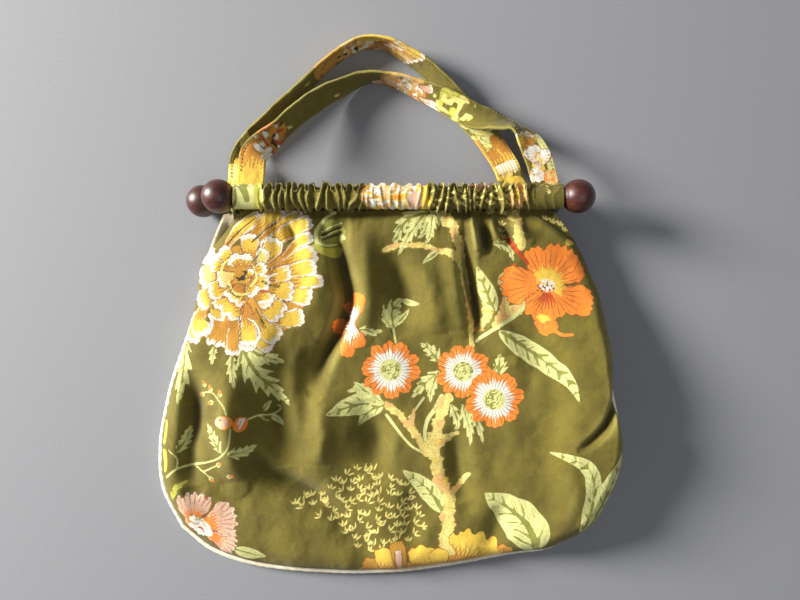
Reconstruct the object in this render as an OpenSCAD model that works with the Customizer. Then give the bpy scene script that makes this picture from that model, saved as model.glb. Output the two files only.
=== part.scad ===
// Soft knitting bag hung on two wooden rods, lying on its back with the handles towards +Y.
// Each side of the mouth is gathered along a rod. Two ball knobs hold each rod in its casing.

/* [Rods] */
// Diameter of each dowel
dowel_d = 12; // [10:0.5:13]
// Diameter of each ball knob
ball_d = 31; // [28:0.5:32]
// Distance between the centres of the two balls on one rod
rod_span = 331; // [329:1:334]
// Depth of the blind hole in each ball
ball_hole = 20; // [15:1:24]
// Height of the rear rod's axis above the rest face
rear_rod_z = 16; // [16:0.5:17]
// Height of the front rod's axis above the rear rod's axis
rod_pitch = 28; // [28:0.5:30]
// Place of both rod axes along the bag
rod_y = 99.5; // [99:0.5:100]
// Middle of the front rod, across the bag
front_rod_x = 10.5; // [10:0.5:11]
// Middle of the rear rod, across the bag
rear_rod_x = -13; // [-13.5:0.5:-12.5]

/* [Casings] */
// Height of a casing when it lies flat
casing_h = 28; // [27:0.5:28]
// Thickness of a casing with the rod in it
casing_t = 20; // [19:0.5:20]
// Length of each casing
casing_len = 302; // [300:1:302]
// Radial gap between a dowel and its casing
dowel_gap = 0.3; // [0.1:0.1:0.5]

/* [Cloth] */
// Thickness of the outer cloth with its folds
cloth_t = 2; // [1.8:0.1:2]
// Thickness of the lining
lining_t = 1; // [0.8:0.1:1]
// Gap between two layers of cloth
layer_gap = 0.3; // [0.2:0.1:0.4]
// Diameter of the piping cord in the seam
piping_d = 5; // [4:0.5:5]
// Height of the bag's front above the rest face
bag_h = 36; // [35:0.5:36]

/* [Mouth] */
// Foot of the side slits, where the front of the mouth bends
slit_y = 46; // [44:1:47]
// Height of that bend
slit_z = 35; // [34.5:0.5:35]

/* [Handles] */
// Width of each strap
strap_w = 25; // [22:1:26]
// Thickness of each strap
strap_t = 3; // [2.5:0.5:3]
// Length of each sewn strap end
tab_len = 7; // [6:0.5:7]
// Distance from a casing's edge to the line where the strap bends
bend_gap = 11; // [10:0.5:11]

/* [Hidden] */
$fn = 64;

front_rod_z = rear_rod_z + rod_pitch;
casing_top_y = rod_y + casing_h / 2;
bend_y = casing_top_y + bend_gap;
strap_start_y = bend_y + strap_t / 2;
dowel_len = rod_span - ball_d + 2 * ball_hole;
eps = 0.02;
print_green = [0.46, 0.44, 0.19];
strap_green = [0.40, 0.37, 0.13];
cream = [0.93, 0.88, 0.76];
dark_wood = [0.26, 0.08, 0.05];

// Outline of the filled bag below the slits, from the left slit foot round to the right one
BAG_POINTS = [
    [-185, 46], [-204, -15], [-219, -75], [-225, -135], [-222, -180], [-205, -218],
    [-170, -244], [-125, -259], [-60, -265], [0, -264], [60, -256], [120, -246],
    [158, -240], [188, -218], [212, -190], [224, -155], [225, -120], [216, -70],
    [210, -20], [195, 46],
];
BAG_CENTRE = [0, -80];
BAG_REACH = 200;
// Neck of each panel, above the slit feet
REAR_NECK_Y = 64;
// Levels of the puffed front: how far each is inside the outline, and its height
DOME_LEVELS = [[0, 8], [3, 17], [12, 26], [32, 33], [62, 36]];

// Strap routes: x, y, z and the lean of the strap's width out of the flat, in degrees
FRONT_ROUTE = [
    [-125, 142, 43.5, 4], [-116, 160, 41, 10], [-97, 180, 35, 18], [-71, 197, 28, 26],
    [-45, 209, 19, 33], [-17, 218, 11.5, 36], [8, 218, 12, 36], [34, 207, 17, 32],
    [57, 195, 23, 26], [79, 183, 28, 22], [102, 174, 33, 16], [123, 159, 39, 10],
    [137, 143, 43.5, 3],
];
REAR_ROUTE = [
    [-138, 150, 13, 6], [-123, 176, 8, 15], [-103, 200, 8, 22], [-81, 218, 8.5, 28],
    [-61, 234, 9.2, 34], [-37, 249, 9.4, 36], [-12, 255, 9.2, 35], [12, 250, 7.6, 26],
    [37, 234, 4.6, 11], [61, 213, 3.6, 6], [81, 188, 3.6, 4], [92, 171, 4.4, 3],
    [109, 148, 9, 2],
];
FRONT_STRAP_X = [-127, 145];
REAR_STRAP_X = [-143, 121];
// Length over which a strap leaves its bend line at a right angle
STRAP_LEAD = 6;

// Point at t in 0..1 on a Catmull-Rom curve from b to c
function blend_point(a, b, c, d, t) =
    0.5 * (2 * b + (c - a) * t + (2 * a - 5 * b + 4 * c - d) * t * t
           + (3 * b - a - 3 * c + d) * t * t * t);

// Smooth open curve through the points, with n steps between each two
function smooth(p, n) = [
    for (i = [0 : len(p) - 2], k = [0 : n - 1])
        blend_point(p[max(i - 1, 0)], p[i], p[i + 1], p[min(i + 2, len(p) - 1)], k / n),
    p[len(p) - 1],
];

// Points drawn in towards the bag's centre by about a distance
function inset(p, d) = [for (q = p) BAG_CENTRE + (1 - d / BAG_REACH) * (q - BAG_CENTRE)];

bag_curve = smooth(BAG_POINTS, 3);

// Outline of a flat back layer, inset by d, with its straight neck up to neck_y
function back_outline(d, neck_y) = concat(
    inset(bag_curve, d),
    [[rear_rod_x + casing_len / 2 - d, neck_y], [rear_rod_x - casing_len / 2 + d, neck_y]]
);

function unit(v) = v / norm(v);

// Tangent of a route at point i
function tangent(p, i) = unit(p[min(i + 1, len(p) - 1)] - p[max(i - 1, 0)]);

// Ring of four corners of a strap; the route runs clockwise, so the width points outwards
function strap_ring(p, lean, i, w, t) =
    let (
        along = tangent(p, i),
        side = unit(cross([0, 0, 1], along)),
        up = unit(cross(along, side)),
        across = cos(lean) * side - sin(lean) * up,
        thick = unit(cross(along, across))
    )
    [for (c = [[1, 1], [-1, 1], [-1, -1], [1, -1]])
        p[i] + c[0] * across * w / 2 + c[1] * thick * t / 2];

// Closed tube through rings that all have the same number of corners
module skin(rings) {
    n = len(rings[0]);
    last = len(rings) - 1;
    points = [for (r = rings, q = r) q];
    sides = [
        for (i = [0 : last - 1], k = [0 : n - 1])
            let (a = i * n + k, b = i * n + (k + 1) % n)
                each [[a, b, b + n], [a, b + n, a + n]],
    ];
    first_cap = [for (k = [n - 1 : -1 : 0]) k];
    last_cap = [for (k = [0 : n - 1]) last * n + k];
    polyhedron(points, concat(sides, [first_cap, last_cap]), convexity = 8);
}

module strap(route, ends_x, rod_z) {
    first = [for (k = [0, 0.5, 1]) [ends_x[0], strap_start_y + k * STRAP_LEAD, rod_z, 0]];
    last = [for (k = [1, 0.5, 0]) [ends_x[1], strap_start_y + k * STRAP_LEAD, rod_z, 0]];
    full = smooth(concat(first, route, last), 3);
    path = [for (q = full) [q[0], q[1], q[2]]];
    skin([for (i = [0 : len(path) - 1]) strap_ring(path, full[i][3], i, strap_w, strap_t)]);
}

// Sewn strap end, standing out of the casing's upper edge
module tab(x, rod_z) {
    translate([x - strap_w / 2, casing_top_y + layer_gap, rod_z - strap_t / 2])
        cube([strap_w, tab_len, strap_t]);
}

// Flattened fabric tube along X, with a round bore for its dowel
module casing(x, rod_z) {
    round_r = casing_t / 2;
    half_flat = (casing_h - casing_t) / 2;
    translate([x - casing_len / 2, rod_y, rod_z])
        rotate([90, 0, 90])
            difference() {
                linear_extrude(casing_len)
                    union() {
                        translate([-half_flat, -round_r]) square([2 * half_flat, 2 * round_r]);
                        for (side = [-1, 1]) translate([side * half_flat, 0]) circle(round_r);
                    }
                translate([0, 0, -1]) cylinder(h = casing_len + 2, d = dowel_d + 2 * dowel_gap);
            }
}

module dowel(x, rod_z) {
    translate([x - dowel_len / 2, rod_y, rod_z])
        rotate([0, 90, 0]) cylinder(h = dowel_len, d = dowel_d);
}

// Ball with a blind hole that faces the middle of the rod; side is -1 for left and 1 for right
module ball(x, rod_z, side) {
    inner = ball_d / 2;
    translate([x + side * rod_span / 2, rod_y, rod_z])
        rotate([0, -side * 90, 0])
            difference() {
                sphere(d = ball_d);
                translate([0, 0, inner - ball_hole]) cylinder(h = ball_hole + 1, d = dowel_d);
            }
}

// Layer that lies flat and then slopes up to the rear casing; low is its underside
module back_layer(d, low, t, neck_y, top_y) {
    rise = (top_y - neck_y) / 2;
    width = casing_len - 2 * d;
    union() {
        translate([0, 0, low]) linear_extrude(t) polygon(back_outline(d, neck_y));
        translate([rear_rod_x - width / 2, 0, low])
            rotate([90, 0, 90]) linear_extrude(width)
                polygon([
                    [neck_y - 2 * t, 0], [neck_y, 0], [top_y, rise],
                    [top_y, rise + t], [neck_y, t], [neck_y - 2 * t, t],
                ]);
    }
}

// Solid under the puffed front, drawn in by d on every side
module dome(d) {
    top = concat(BAG_POINTS, [[165, 140], [-150, 140]]);
    hull()
        for (level = DOME_LEVELS)
            translate([0, 0, level[1] - (level[1] > DOME_LEVELS[0][1] ? d : 0) - eps])
                linear_extrude(eps) polygon(inset(top, level[0] + d));
}

// Puffed front shell between two depths of the dome, open to the back layers and at the slits
module front_shell(outer_d, t) {
    low = DOME_LEVELS[0][1];
    intersection() {
        difference() {
            dome(outer_d);
            translate([0, 0, -eps]) dome(outer_d + t);
        }
        translate([-300, -300, low - 1]) cube([600, 300 + slit_y - 1.5, 60]);
    }
}

// Front of the mouth, from the slit feet up to the front casing; drop is its depth under the cloth
module mouth_layer(d, drop, t) {
    run = rod_y - casing_h / 2 - slit_y;
    slope = atan((front_rod_z - slit_z - 1) / run);
    length = run / cos(slope) - 2;
    translate([0, slit_y, slit_z])
        rotate([slope, 0, 0])
            translate([0, 0, 1 - drop - t]) linear_extrude(t)
                polygon([
                    [-183 + d, 1.5], [193 - d, 1.5],
                    [front_rod_x + casing_len / 2 - d, length],
                    [front_rod_x - casing_len / 2 + d, length],
                ]);
}

module rear_panel() { color(print_green) back_layer(0, 0, cloth_t, REAR_NECK_Y, 84); }
module rear_lining() {
    color(cream) back_layer(8, cloth_t + layer_gap, lining_t, REAR_NECK_Y - 2, 82);
}
module front_panel_lower() { color(print_green) front_shell(0, cloth_t); }
module front_lining_lower() { color(cream) front_shell(cloth_t + 2 * layer_gap, lining_t); }
module front_panel_upper() { color(print_green) mouth_layer(0, 0, cloth_t); }
module front_lining_upper() {
    color(cream) mouth_layer(5, cloth_t + layer_gap, lining_t);
}

// Corded seam round the bag, between the back and front panels
module side_piping() {
    r = piping_d / 2;
    path = [for (q = inset(smooth(BAG_POINTS, 3), r)) [q[0], q[1], cloth_t + layer_gap + r]];
    color(cream)
        skin([
            for (i = [0 : len(path) - 1])
                let (side = unit(cross([0, 0, 1], tangent(path, i))))
                    [for (k = [7 : -1 : 0]) path[i] + r * (cos(45 * k) * side + sin(45 * k) * [0, 0, 1])]
        ]);
}

module front_casing() { color(print_green) casing(front_rod_x, front_rod_z); }
module rear_casing() { color(print_green) casing(rear_rod_x, rear_rod_z); }
module front_dowel() { color(dark_wood) dowel(front_rod_x, front_rod_z); }
module rear_dowel() { color(dark_wood) dowel(rear_rod_x, rear_rod_z); }
module front_left_ball() { color(dark_wood) ball(front_rod_x, front_rod_z, -1); }
module front_right_ball() { color(dark_wood) ball(front_rod_x, front_rod_z, 1); }
module rear_left_ball() { color(dark_wood) ball(rear_rod_x, rear_rod_z, -1); }
module rear_right_ball() { color(dark_wood) ball(rear_rod_x, rear_rod_z, 1); }
module front_handle() { color(strap_green) strap(FRONT_ROUTE, FRONT_STRAP_X, front_rod_z); }
module rear_handle() { color(strap_green) strap(REAR_ROUTE, REAR_STRAP_X, rear_rod_z); }
module front_left_tab() { color(strap_green) tab(FRONT_STRAP_X[0], front_rod_z); }
module front_right_tab() { color(strap_green) tab(FRONT_STRAP_X[1], front_rod_z); }
module rear_left_tab() { color(strap_green) tab(REAR_STRAP_X[0], rear_rod_z); }
module rear_right_tab() { color(strap_green) tab(REAR_STRAP_X[1], rear_rod_z); }

rear_panel();
front_panel_lower();
front_panel_upper();
rear_lining();
front_lining_lower();
front_lining_upper();
side_piping();
front_casing();
rear_casing();
front_dowel();
rear_dowel();
front_left_ball();
front_right_ball();
rear_left_ball();
rear_right_ball();
front_handle();
rear_handle();
front_left_tab();
front_right_tab();
rear_left_tab();
rear_right_tab();
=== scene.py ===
import math

import bpy
import numpy as np
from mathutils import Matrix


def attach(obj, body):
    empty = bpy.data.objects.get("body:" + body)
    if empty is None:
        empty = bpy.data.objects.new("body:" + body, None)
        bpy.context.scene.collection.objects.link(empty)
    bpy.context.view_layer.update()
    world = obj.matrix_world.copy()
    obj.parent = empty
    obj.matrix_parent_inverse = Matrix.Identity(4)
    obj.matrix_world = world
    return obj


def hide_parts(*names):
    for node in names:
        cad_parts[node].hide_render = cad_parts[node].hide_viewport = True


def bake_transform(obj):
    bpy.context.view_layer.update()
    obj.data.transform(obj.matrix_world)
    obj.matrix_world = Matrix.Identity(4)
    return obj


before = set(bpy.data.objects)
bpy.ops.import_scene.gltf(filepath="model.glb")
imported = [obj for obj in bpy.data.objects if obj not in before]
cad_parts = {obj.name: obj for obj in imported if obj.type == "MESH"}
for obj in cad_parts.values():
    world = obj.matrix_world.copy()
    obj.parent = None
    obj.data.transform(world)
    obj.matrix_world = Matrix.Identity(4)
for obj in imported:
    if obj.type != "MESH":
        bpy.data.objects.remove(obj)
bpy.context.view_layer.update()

# A soft knitting bag that lies on its back, with its handles towards +Y.
# Lengths in this script are in millimetres; meshes are made in metres.
MM = 0.001

# ---------------------------------------------------------------- driving dimensions
SEAM_Z = 6.0
PIPING_R = 2.8
# Turn of the cord's three strands from one ring of points to the next, in radians
CORD_TURN = 0.9
# How far the front cloth's edge lies inside the seam, and how wide the band is where its points crowd
HEM_INSET = 5.8
CROWD = 44.0
# Where both cloths reach their casings
TOP_Y = 88.0
ROD_Y = 99.5
# Each rod's middle in x, and its height
FRONT_ROD = (10.5, 44.0)
REAR_ROD = (-13.0, 16.0)
CASING_LENGTH = 302.0
ROD_SPAN = 331.0
BALL_R = 15.5
DOWEL_R = 6.0
# Half the casing's depth and height, and how far it lies towards the bag from the rod
CASING_DEPTH = 10.6
CASING_HEIGHT = 8.0
CASING_BACK = 1.2
HEADER_Y = 105.2
STRAP_WIDTH = 25.0
STRAP_THICK = 3.0
STITCH_INSET = 3.2
# A cloth's inner face has one point for every so many of its outer face
INNER_STEP = 4
# Thickness of each cloth
FRONT_CLOTH = 0.8
REAR_CLOTH = 1.0
LINING_CLOTH = 0.6
CASING_CLOTH = 1.1
# The front lining hangs this far under its cloth, is this share smaller about its middle and stays above
# the rear cloth; the rear lining lies this far above its cloth
LINING_DROP = 3.0
LINING_SHRINK = 0.006
LINING_MIDDLE = (0, -60.0, 0)
LINING_FLOOR = 4.5
LINING_LIFT = 2.4
# Where a casing's row of stitches runs, as a share of the way round it
STITCH_ROW = 0.44

# The camera looks straight down
CAMERA_AT = (0.012, 0.004, 0.600)
CAMERA_LENS = 27.18

# Outline of the bag, corner by corner: x, y and the height of the front cloth's edge
LEFT_SIDE = [
    (-203, -219, 7), (-222, -180, 7), (-225, -138, 7), (-220, -105, 7), (-213, -75, 7),
    (-202, -42, 7), (-193, -15, 7), (-187, 8, 7), (-184, 34, 9), (-177, 50, 14), (-163, 66, 25),
    (-141, 88, 39),
]
RIGHT_SIDE = [
    (203, -205, 7), (221, -165, 7), (227, -120, 7), (219, -72, 7), (211, -20, 8),
    (200, 28, 14), (183, 62, 27), (161, 88, 39),
]
BOTTOM_EDGE = [
    (-203, -219, 7), (-172, -243, 7), (-125, -258, 7), (-60, -264, 7), (0, -264, 7),
    (60, -257, 7), (120, -246, 7), (158, -240, 7), (188, -222, 7), (203, -205, 7),
]
TOP_EDGE = [(-141, 88, 39), (-60, 88, 40), (10, 88, 40), (90, 88, 40), (161, 88, 39)]
REAR_LEFT_TOP = [(-184, 34, 7), (-173, 62, 12), (-161, 88, 16)]
REAR_RIGHT_TOP = [(200, 28, 8), (170, 62, 12), (137, 88, 16)]
REAR_TOP_EDGE = [(-163, 88, 15), (-80, 88, 15), (0, 88, 15), (70, 88, 15), (137, 88, 15)]
REAR_EDGE_Z = 5

# Height of the filled front at a few places
BELLY = [
    (-185, -150, 22), (-150, -215, 18), (-150, -120, 29), (-140, -40, 31), (-135, 30, 32),
    (-90, -180, 20), (-70, -100, 19), (-40, -30, 24), (-20, -180, 17), (0, -100, 17),
    (60, -200, 21), (70, -110, 24), (60, 0, 29), (-40, 45, 32), (100, 60, 38), (165, 50, 34),
    (122, -120, 29), (135, -30, 32), (192, -110, 57), (190, -45, 54), (184, -170, 46),
    (120, -190, 29), (162, 0, 39), (-110, 88, 41), (-30, 88, 41), (50, 88, 41), (130, 88, 41),
    (0, -240, 20),
]

# Folds of the front: path, height (below 0 for a valley) and width
FOLDS = [
    ([(-39, 85), (-47, 61), (-42, 32), (-38, 4), (-47, -24), (-62, -53), (-71, -86)], -13, 8),
    ([(-24, 70), (-20, 30), (-18, 0), (-24, -30)], 5, 11),
    ([(-75, 60), (-66, 20), (-76, -15)], 4, 13),
    ([(4, 50), (8, 30), (16, 5), (14, -20)], -8, 12),
    ([(36, 40), (44, 10), (48, -30)], 5, 13),
    ([(55, 55), (64, 12), (68, -25)], 5, 9),
    ([(70, 62), (77, 22), (84, -10), (87, -32)], -10, 6),
    ([(98, 20), (100, -5), (112, -50)], 4, 12),
    ([(84, 90), (90, 72), (94, 50)], -9, 5),
    ([(75, 90), (79, 72), (85, 48)], 5, 4),
    ([(96, 90), (108, 70), (118, 54)], -8, 5),
    ([(108, 88), (120, 72), (132, 60)], 4, 6),
    ([(-100, 88), (-92, 72), (-86, 58)], -5, 5),
    ([(-66, 88), (-60, 74), (-56, 60)], -6, 6),
    ([(215, -60), (208, -89), (201, -108), (190, -123), (178, -134)], -6, 4),
    ([(152, -50), (158, -95), (150, -140)], -5, 13),
    ([(120, 0), (138, -40), (130, -110)], -3, 16),
    ([(-188, -60), (-185, -109), (-190, -142), (-186, -176)], -9, 11),
    ([(-148, -61), (-152, -118), (-146, -172)], 8, 15),
    ([(-106, -50), (-108, -105), (-98, -160)], -8, 15),
    ([(-71, -39), (-80, -76), (-78, -119)], -5, 9),
    ([(-134, -145), (-118, -161), (-97, -174), (-73, -185), (-49, -204), (-40, -223)], -8, 11),
    ([(-7, -105), (-9, -165)], -6, 11),
    ([(-64, -95), (-62, -125), (-66, -155)], 5, 12),
    ([(-22, -90), (-18, -125), (-26, -160)], -5, 13),
    ([(66, -115), (68, -160), (76, -190)], -7, 10),
    ([(20, -180), (24, -210), (20, -235)], -4, 10),
    ([(110, -190), (104, -215), (98, -235)], -5, 11),
    ([(160, -150), (168, -185), (150, -222)], 4, 13),
]
# The flap below the casing's right end drops behind this crease
CREASE = [(128, 88), (150, 74), (170, 60), (188, 48)]
CREASE_DROP = 8.0

# Stretches of the casing that are gathered: from, to and strength
FRONT_GATHERS = [(-116, -24, 1.0), (-24, 37, 0.22), (37, 132, 1.0), (132, 162, 0.12)]
REAR_GATHERS = [(-150, -40, 1.0), (-40, 20, 0.4), (20, 120, 1.0)]
# Seeds of the gathers, which a casing shares with its cloth and its frill
FRONT_SEED = 9
REAR_SEED = 29


# ---------------------------------------------------------------- curves and noise
def spaced(path, count):
    """That many points at even steps along a line of points."""
    gaps = np.linalg.norm(np.diff(path, axis=0), axis=1)
    at = np.concatenate([[0], np.cumsum(gaps)])
    where = np.linspace(0, at[-1], count)
    return np.stack([np.interp(where, at, path[:, k]) for k in range(path.shape[1])], 1)


def smooth_path(points, step):
    """Catmull-Rom curve through the points, at about even steps."""
    p = np.asarray(points, float)
    p = np.vstack([2 * p[0] - p[1], p, 2 * p[-1] - p[-2]])
    t = (np.arange(12) / 12)[:, None]
    parts = []
    for a, b, c, d in zip(p[:-3], p[1:-2], p[2:-1], p[3:]):
        bend = (2 * a - 5 * b + 4 * c - d) * t**2 + (3 * b - a - 3 * c + d) * t**3
        parts.append(0.5 * (2 * b + (c - a) * t + bend))
    dense = np.vstack([*parts, p[-2][None]])
    length = np.linalg.norm(np.diff(dense, axis=0), axis=1).sum()
    return spaced(dense, max(2, round(length / step) + 1))


def beside_path(x, y, path):
    """For each point, the share along the path of its nearest place, and the distance to the path's left."""
    best = np.full(x.shape, 1e18)
    share = np.zeros(x.shape)
    side = np.zeros(x.shape)
    runs = np.linalg.norm(np.diff(path[:, :2], axis=0), axis=1)
    total = runs.sum()
    start = 0.0
    for a, b, run in zip(path[:-1], path[1:], runs):
        dx, dy = (b[0] - a[0]) / run, (b[1] - a[1]) / run
        px, py = x - a[0], y - a[1]
        along = np.clip(px * dx + py * dy, 0, run)
        gap = (px - along * dx) ** 2 + (py - along * dy) ** 2
        near = gap < best
        best = np.where(near, gap, best)
        share = np.where(near, (start + along) / total, share)
        side = np.where(near, np.sign(dx * py - dy * px), side)
        start += run
    return share, np.sqrt(best) * np.where(side < 0, -1, 1)


def noise(x, y, size, seed):
    """Smooth random values from -1 to 1 that change over about that size."""
    table = np.random.default_rng(seed).uniform(-1, 1, (64, 64))
    u, v = x / size + 1000.37, y / size + 1000.71
    i, j = np.floor(u).astype(int), np.floor(v).astype(int)
    fu, fv = u - i, v - j
    fu, fv = fu * fu * (3 - 2 * fu), fv * fv * (3 - 2 * fv)
    low = table[i % 64, j % 64] * (1 - fu) + table[(i + 1) % 64, j % 64] * fu
    high = table[i % 64, (j + 1) % 64] * (1 - fu) + table[(i + 1) % 64, (j + 1) % 64] * fu
    return low * (1 - fv) + high * fv


def smoothstep(x, low, high):
    """Smooth rise from 0 at low to 1 at high."""
    t = np.clip((x - low) / (high - low), 0, 1)
    return t * t * (3 - 2 * t)


def blurred(grid, times):
    """A grid of heights, averaged with its neighbours that many times."""
    g = grid
    for _ in range(times):
        p = np.pad(g, 1, mode="edge")
        g = (p[:-2, 1:-1] + p[2:, 1:-1] + p[1:-1, :-2] + p[1:-1, 2:] + 2 * g) / 6
    return g


def unit(v):
    return v / np.maximum(np.linalg.norm(v, axis=-1, keepdims=True), 1e-9)


# ---------------------------------------------------------------- meshes
def mesh_object(name, points, faces, material):
    """Smooth mesh from points in millimetres."""
    mesh = bpy.data.meshes.new(name)
    mesh.from_pydata((np.asarray(points).reshape(-1, 3) * MM).tolist(), [], faces)
    mesh.polygons.foreach_set("use_smooth", [True] * len(mesh.polygons))
    mesh.materials.append(material)
    obj = bpy.data.objects.new(name, mesh)
    bpy.context.scene.collection.objects.link(obj)
    return obj


def quads(rows, cols, closed, first=0, flip=False):
    """Faces of a grid of points; closed joins its last row to its first."""
    r = np.arange(rows if closed else rows - 1)[:, None]
    c = np.arange(cols - 1)[None, :]
    up = (r + 1) % rows
    corners = [r * cols + c, r * cols + c + 1, up * cols + c + 1, up * cols + c]
    if flip:
        corners = corners[::-1]
    return (first + np.stack(corners, -1).reshape(-1, 4)).tolist()


def lowered(points, cells, drop):
    """The surface moved down past the lowest of its neighbours, so that a coarser copy stays under it."""
    z = points[..., 2]
    for _ in range(cells):
        p = np.pad(z, 1, mode="edge")
        z = np.min([z, p[:-2, 1:-1], p[2:, 1:-1], p[1:-1, :-2], p[1:-1, 2:]], axis=0)
    under = points.copy()
    under[..., 2] = np.maximum(blurred(z, cells), 1.0) - drop
    return under


def shell(name, outer, thick, material, closed=False, under=None):
    """Sheet of cloth with a fine outer face and a coarser inner face, joined round its rim.
    outer is rows by columns of points; closed makes a tube whose rows go round it."""
    step = INNER_STEP
    rows, cols, _ = outer.shape
    along = np.gradient(outer, axis=1)
    if closed:
        across = np.roll(outer, -1, axis=0) - np.roll(outer, 1, axis=0)
    else:
        across = np.gradient(outer, axis=0)
    inner = outer if under is None else under
    inner = (inner - thick * unit(np.cross(along, across)))[::step, ::step]
    in_rows, in_cols, _ = inner.shape
    base = rows * cols

    def edge(fine, coarse):
        """Faces between a run of outer points and the inner points beside it."""
        return [
            [fine[k * step], coarse[k], coarse[k + 1], *fine[k * step + 1 : (k + 1) * step + 1][::-1]]
            for k in range(len(coarse) - 1)
        ]

    fine = np.arange(base).reshape(rows, cols)
    coarse = base + np.arange(in_rows * in_cols).reshape(in_rows, in_cols)
    faces = quads(rows, cols, closed) + quads(in_rows, in_cols, closed, base, flip=True)
    if closed:
        fine = np.vstack([fine, fine[:1]])
        coarse = np.vstack([coarse, coarse[:1]])
    else:
        faces += edge(fine[0].tolist(), coarse[0].tolist())
        faces += edge(fine[-1, ::-1].tolist(), coarse[-1, ::-1].tolist())
    faces += edge(fine[:, -1].tolist(), coarse[:, -1].tolist())
    faces += edge(fine[::-1, 0].tolist(), coarse[::-1, 0].tolist())
    obj = mesh_object(name, np.vstack([outer.reshape(-1, 3), inner.reshape(-1, 3)]), faces, material)
    obj["outer_count"] = base
    return obj


def paint(obj, name, values, inside=0.0):
    """Values of the outer face's points; the inner face gets one value."""
    count = len(obj.data.vertices)
    values = np.asarray(values, np.float32)
    if values.ndim == 1:
        full = np.full(count, inside, np.float32)
        full[: len(values)] = values
        obj.data.attributes.new(name, "FLOAT", "POINT").data.foreach_set("value", full)
        return
    full = np.full((count, 3), inside, np.float32)
    full[: len(values)] = values
    obj.data.attributes.new(name, "FLOAT_VECTOR", "POINT").data.foreach_set("vector", full.ravel())


def swept(path, radius, sides):
    """Rings of points round a path, as rows by columns for a closed grid."""
    along = unit(np.gradient(path, axis=0))
    side = unit(np.cross([0, 0, 1.0], along))
    up = np.cross(along, side)
    turn = -np.arange(sides)[:, None, None] * 2 * math.pi / sides
    return path[None] + radius * (np.cos(turn) * side[None] + np.sin(turn) * up[None])


def capped(name, grid, material):
    """Closed tube from a grid of rings, with flat ends."""
    rows, cols, _ = grid.shape
    ends = [
        (np.arange(rows) * cols)[::-1].tolist(),
        (np.arange(rows) * cols + cols - 1).tolist(),
    ]
    return mesh_object(name, grid, quads(rows, cols, True) + ends, material)


def turned(name, profile, centre, side, material, sides):
    """Turned wooden part: (distance outwards, radius) pairs about the rod's axis."""
    p = np.asarray(profile, float)
    turn = np.arange(sides)[:, None] * 2 * math.pi / sides * side
    grid = np.stack(
        [
            np.broadcast_to(centre[0] + side * p[:, 0], (sides, len(p))),
            centre[1] + np.cos(turn) * p[:, 1],
            centre[2] + np.sin(turn) * p[:, 1],
        ],
        -1,
    )
    return capped(name, grid[::-1], material)


def stitches(name, line, lift, material, pitch=3.2, length=2.2, radius=0.33):
    """Row of short threads along a line of points; lift is the way out of the cloth."""
    line = np.asarray(line, float)
    gaps = np.linalg.norm(np.diff(line, axis=0), axis=1)
    count = max(2, int(gaps.sum() / pitch))
    fine = spaced(line, 4 * count + 1)
    up = spaced(np.asarray(lift, float), 4 * count + 1)
    centres, ahead = fine[2::4], unit(fine[3::4] - fine[1:-1:4])
    up = unit(up[2::4])
    side = np.cross(ahead, up)
    ring = np.arange(6) * math.pi / 3
    points, faces = [], []
    for share, fat in [(-0.5, 0.25), (-0.3, 0.9), (0.0, 1.0), (0.3, 0.9), (0.5, 0.25)]:
        for a in ring:
            out = radius * fat * (math.cos(a) * side + math.sin(a) * up)
            points.append(centres + share * length * ahead + out)
    points = np.stack(points, 1)
    tube = np.array(quads(5, 7, False))
    tube = (tube // 7) * 6 + (tube % 7) % 6
    ends = [list(range(5, -1, -1)), list(range(24, 30))]
    for k in range(len(centres)):
        faces += (tube + 30 * k).tolist() + [[30 * k + i for i in e] for e in ends]
    return mesh_object(name, points, faces, material)


# ---------------------------------------------------------------- inks and print
def srgb(r, g, b):
    """Linear colour from 0-255 values."""
    return tuple(((v / 255 + 0.055) / 1.055) ** 2.4 if v > 10 else v / 3294.6 for v in (r, g, b))


INKS = {
    "leaf": srgb(220, 218, 140), "shade": srgb(142, 142, 58), "line": srgb(62, 50, 18),
    "yellow": srgb(240, 200, 74), "ochre": srgb(206, 150, 50), "orange": srgb(255, 142, 46),
    "white": srgb(244, 238, 220), "cream": srgb(236, 218, 126), "peach": srgb(236, 188, 116),
    "rust": srgb(190, 74, 26), "pink": srgb(234, 190, 158), "bright": srgb(198, 194, 74),
}
PATTERNS = ("leaf", "petal", "ray")
OUTSIDE = -5.0
BARK = 3.0


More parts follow.
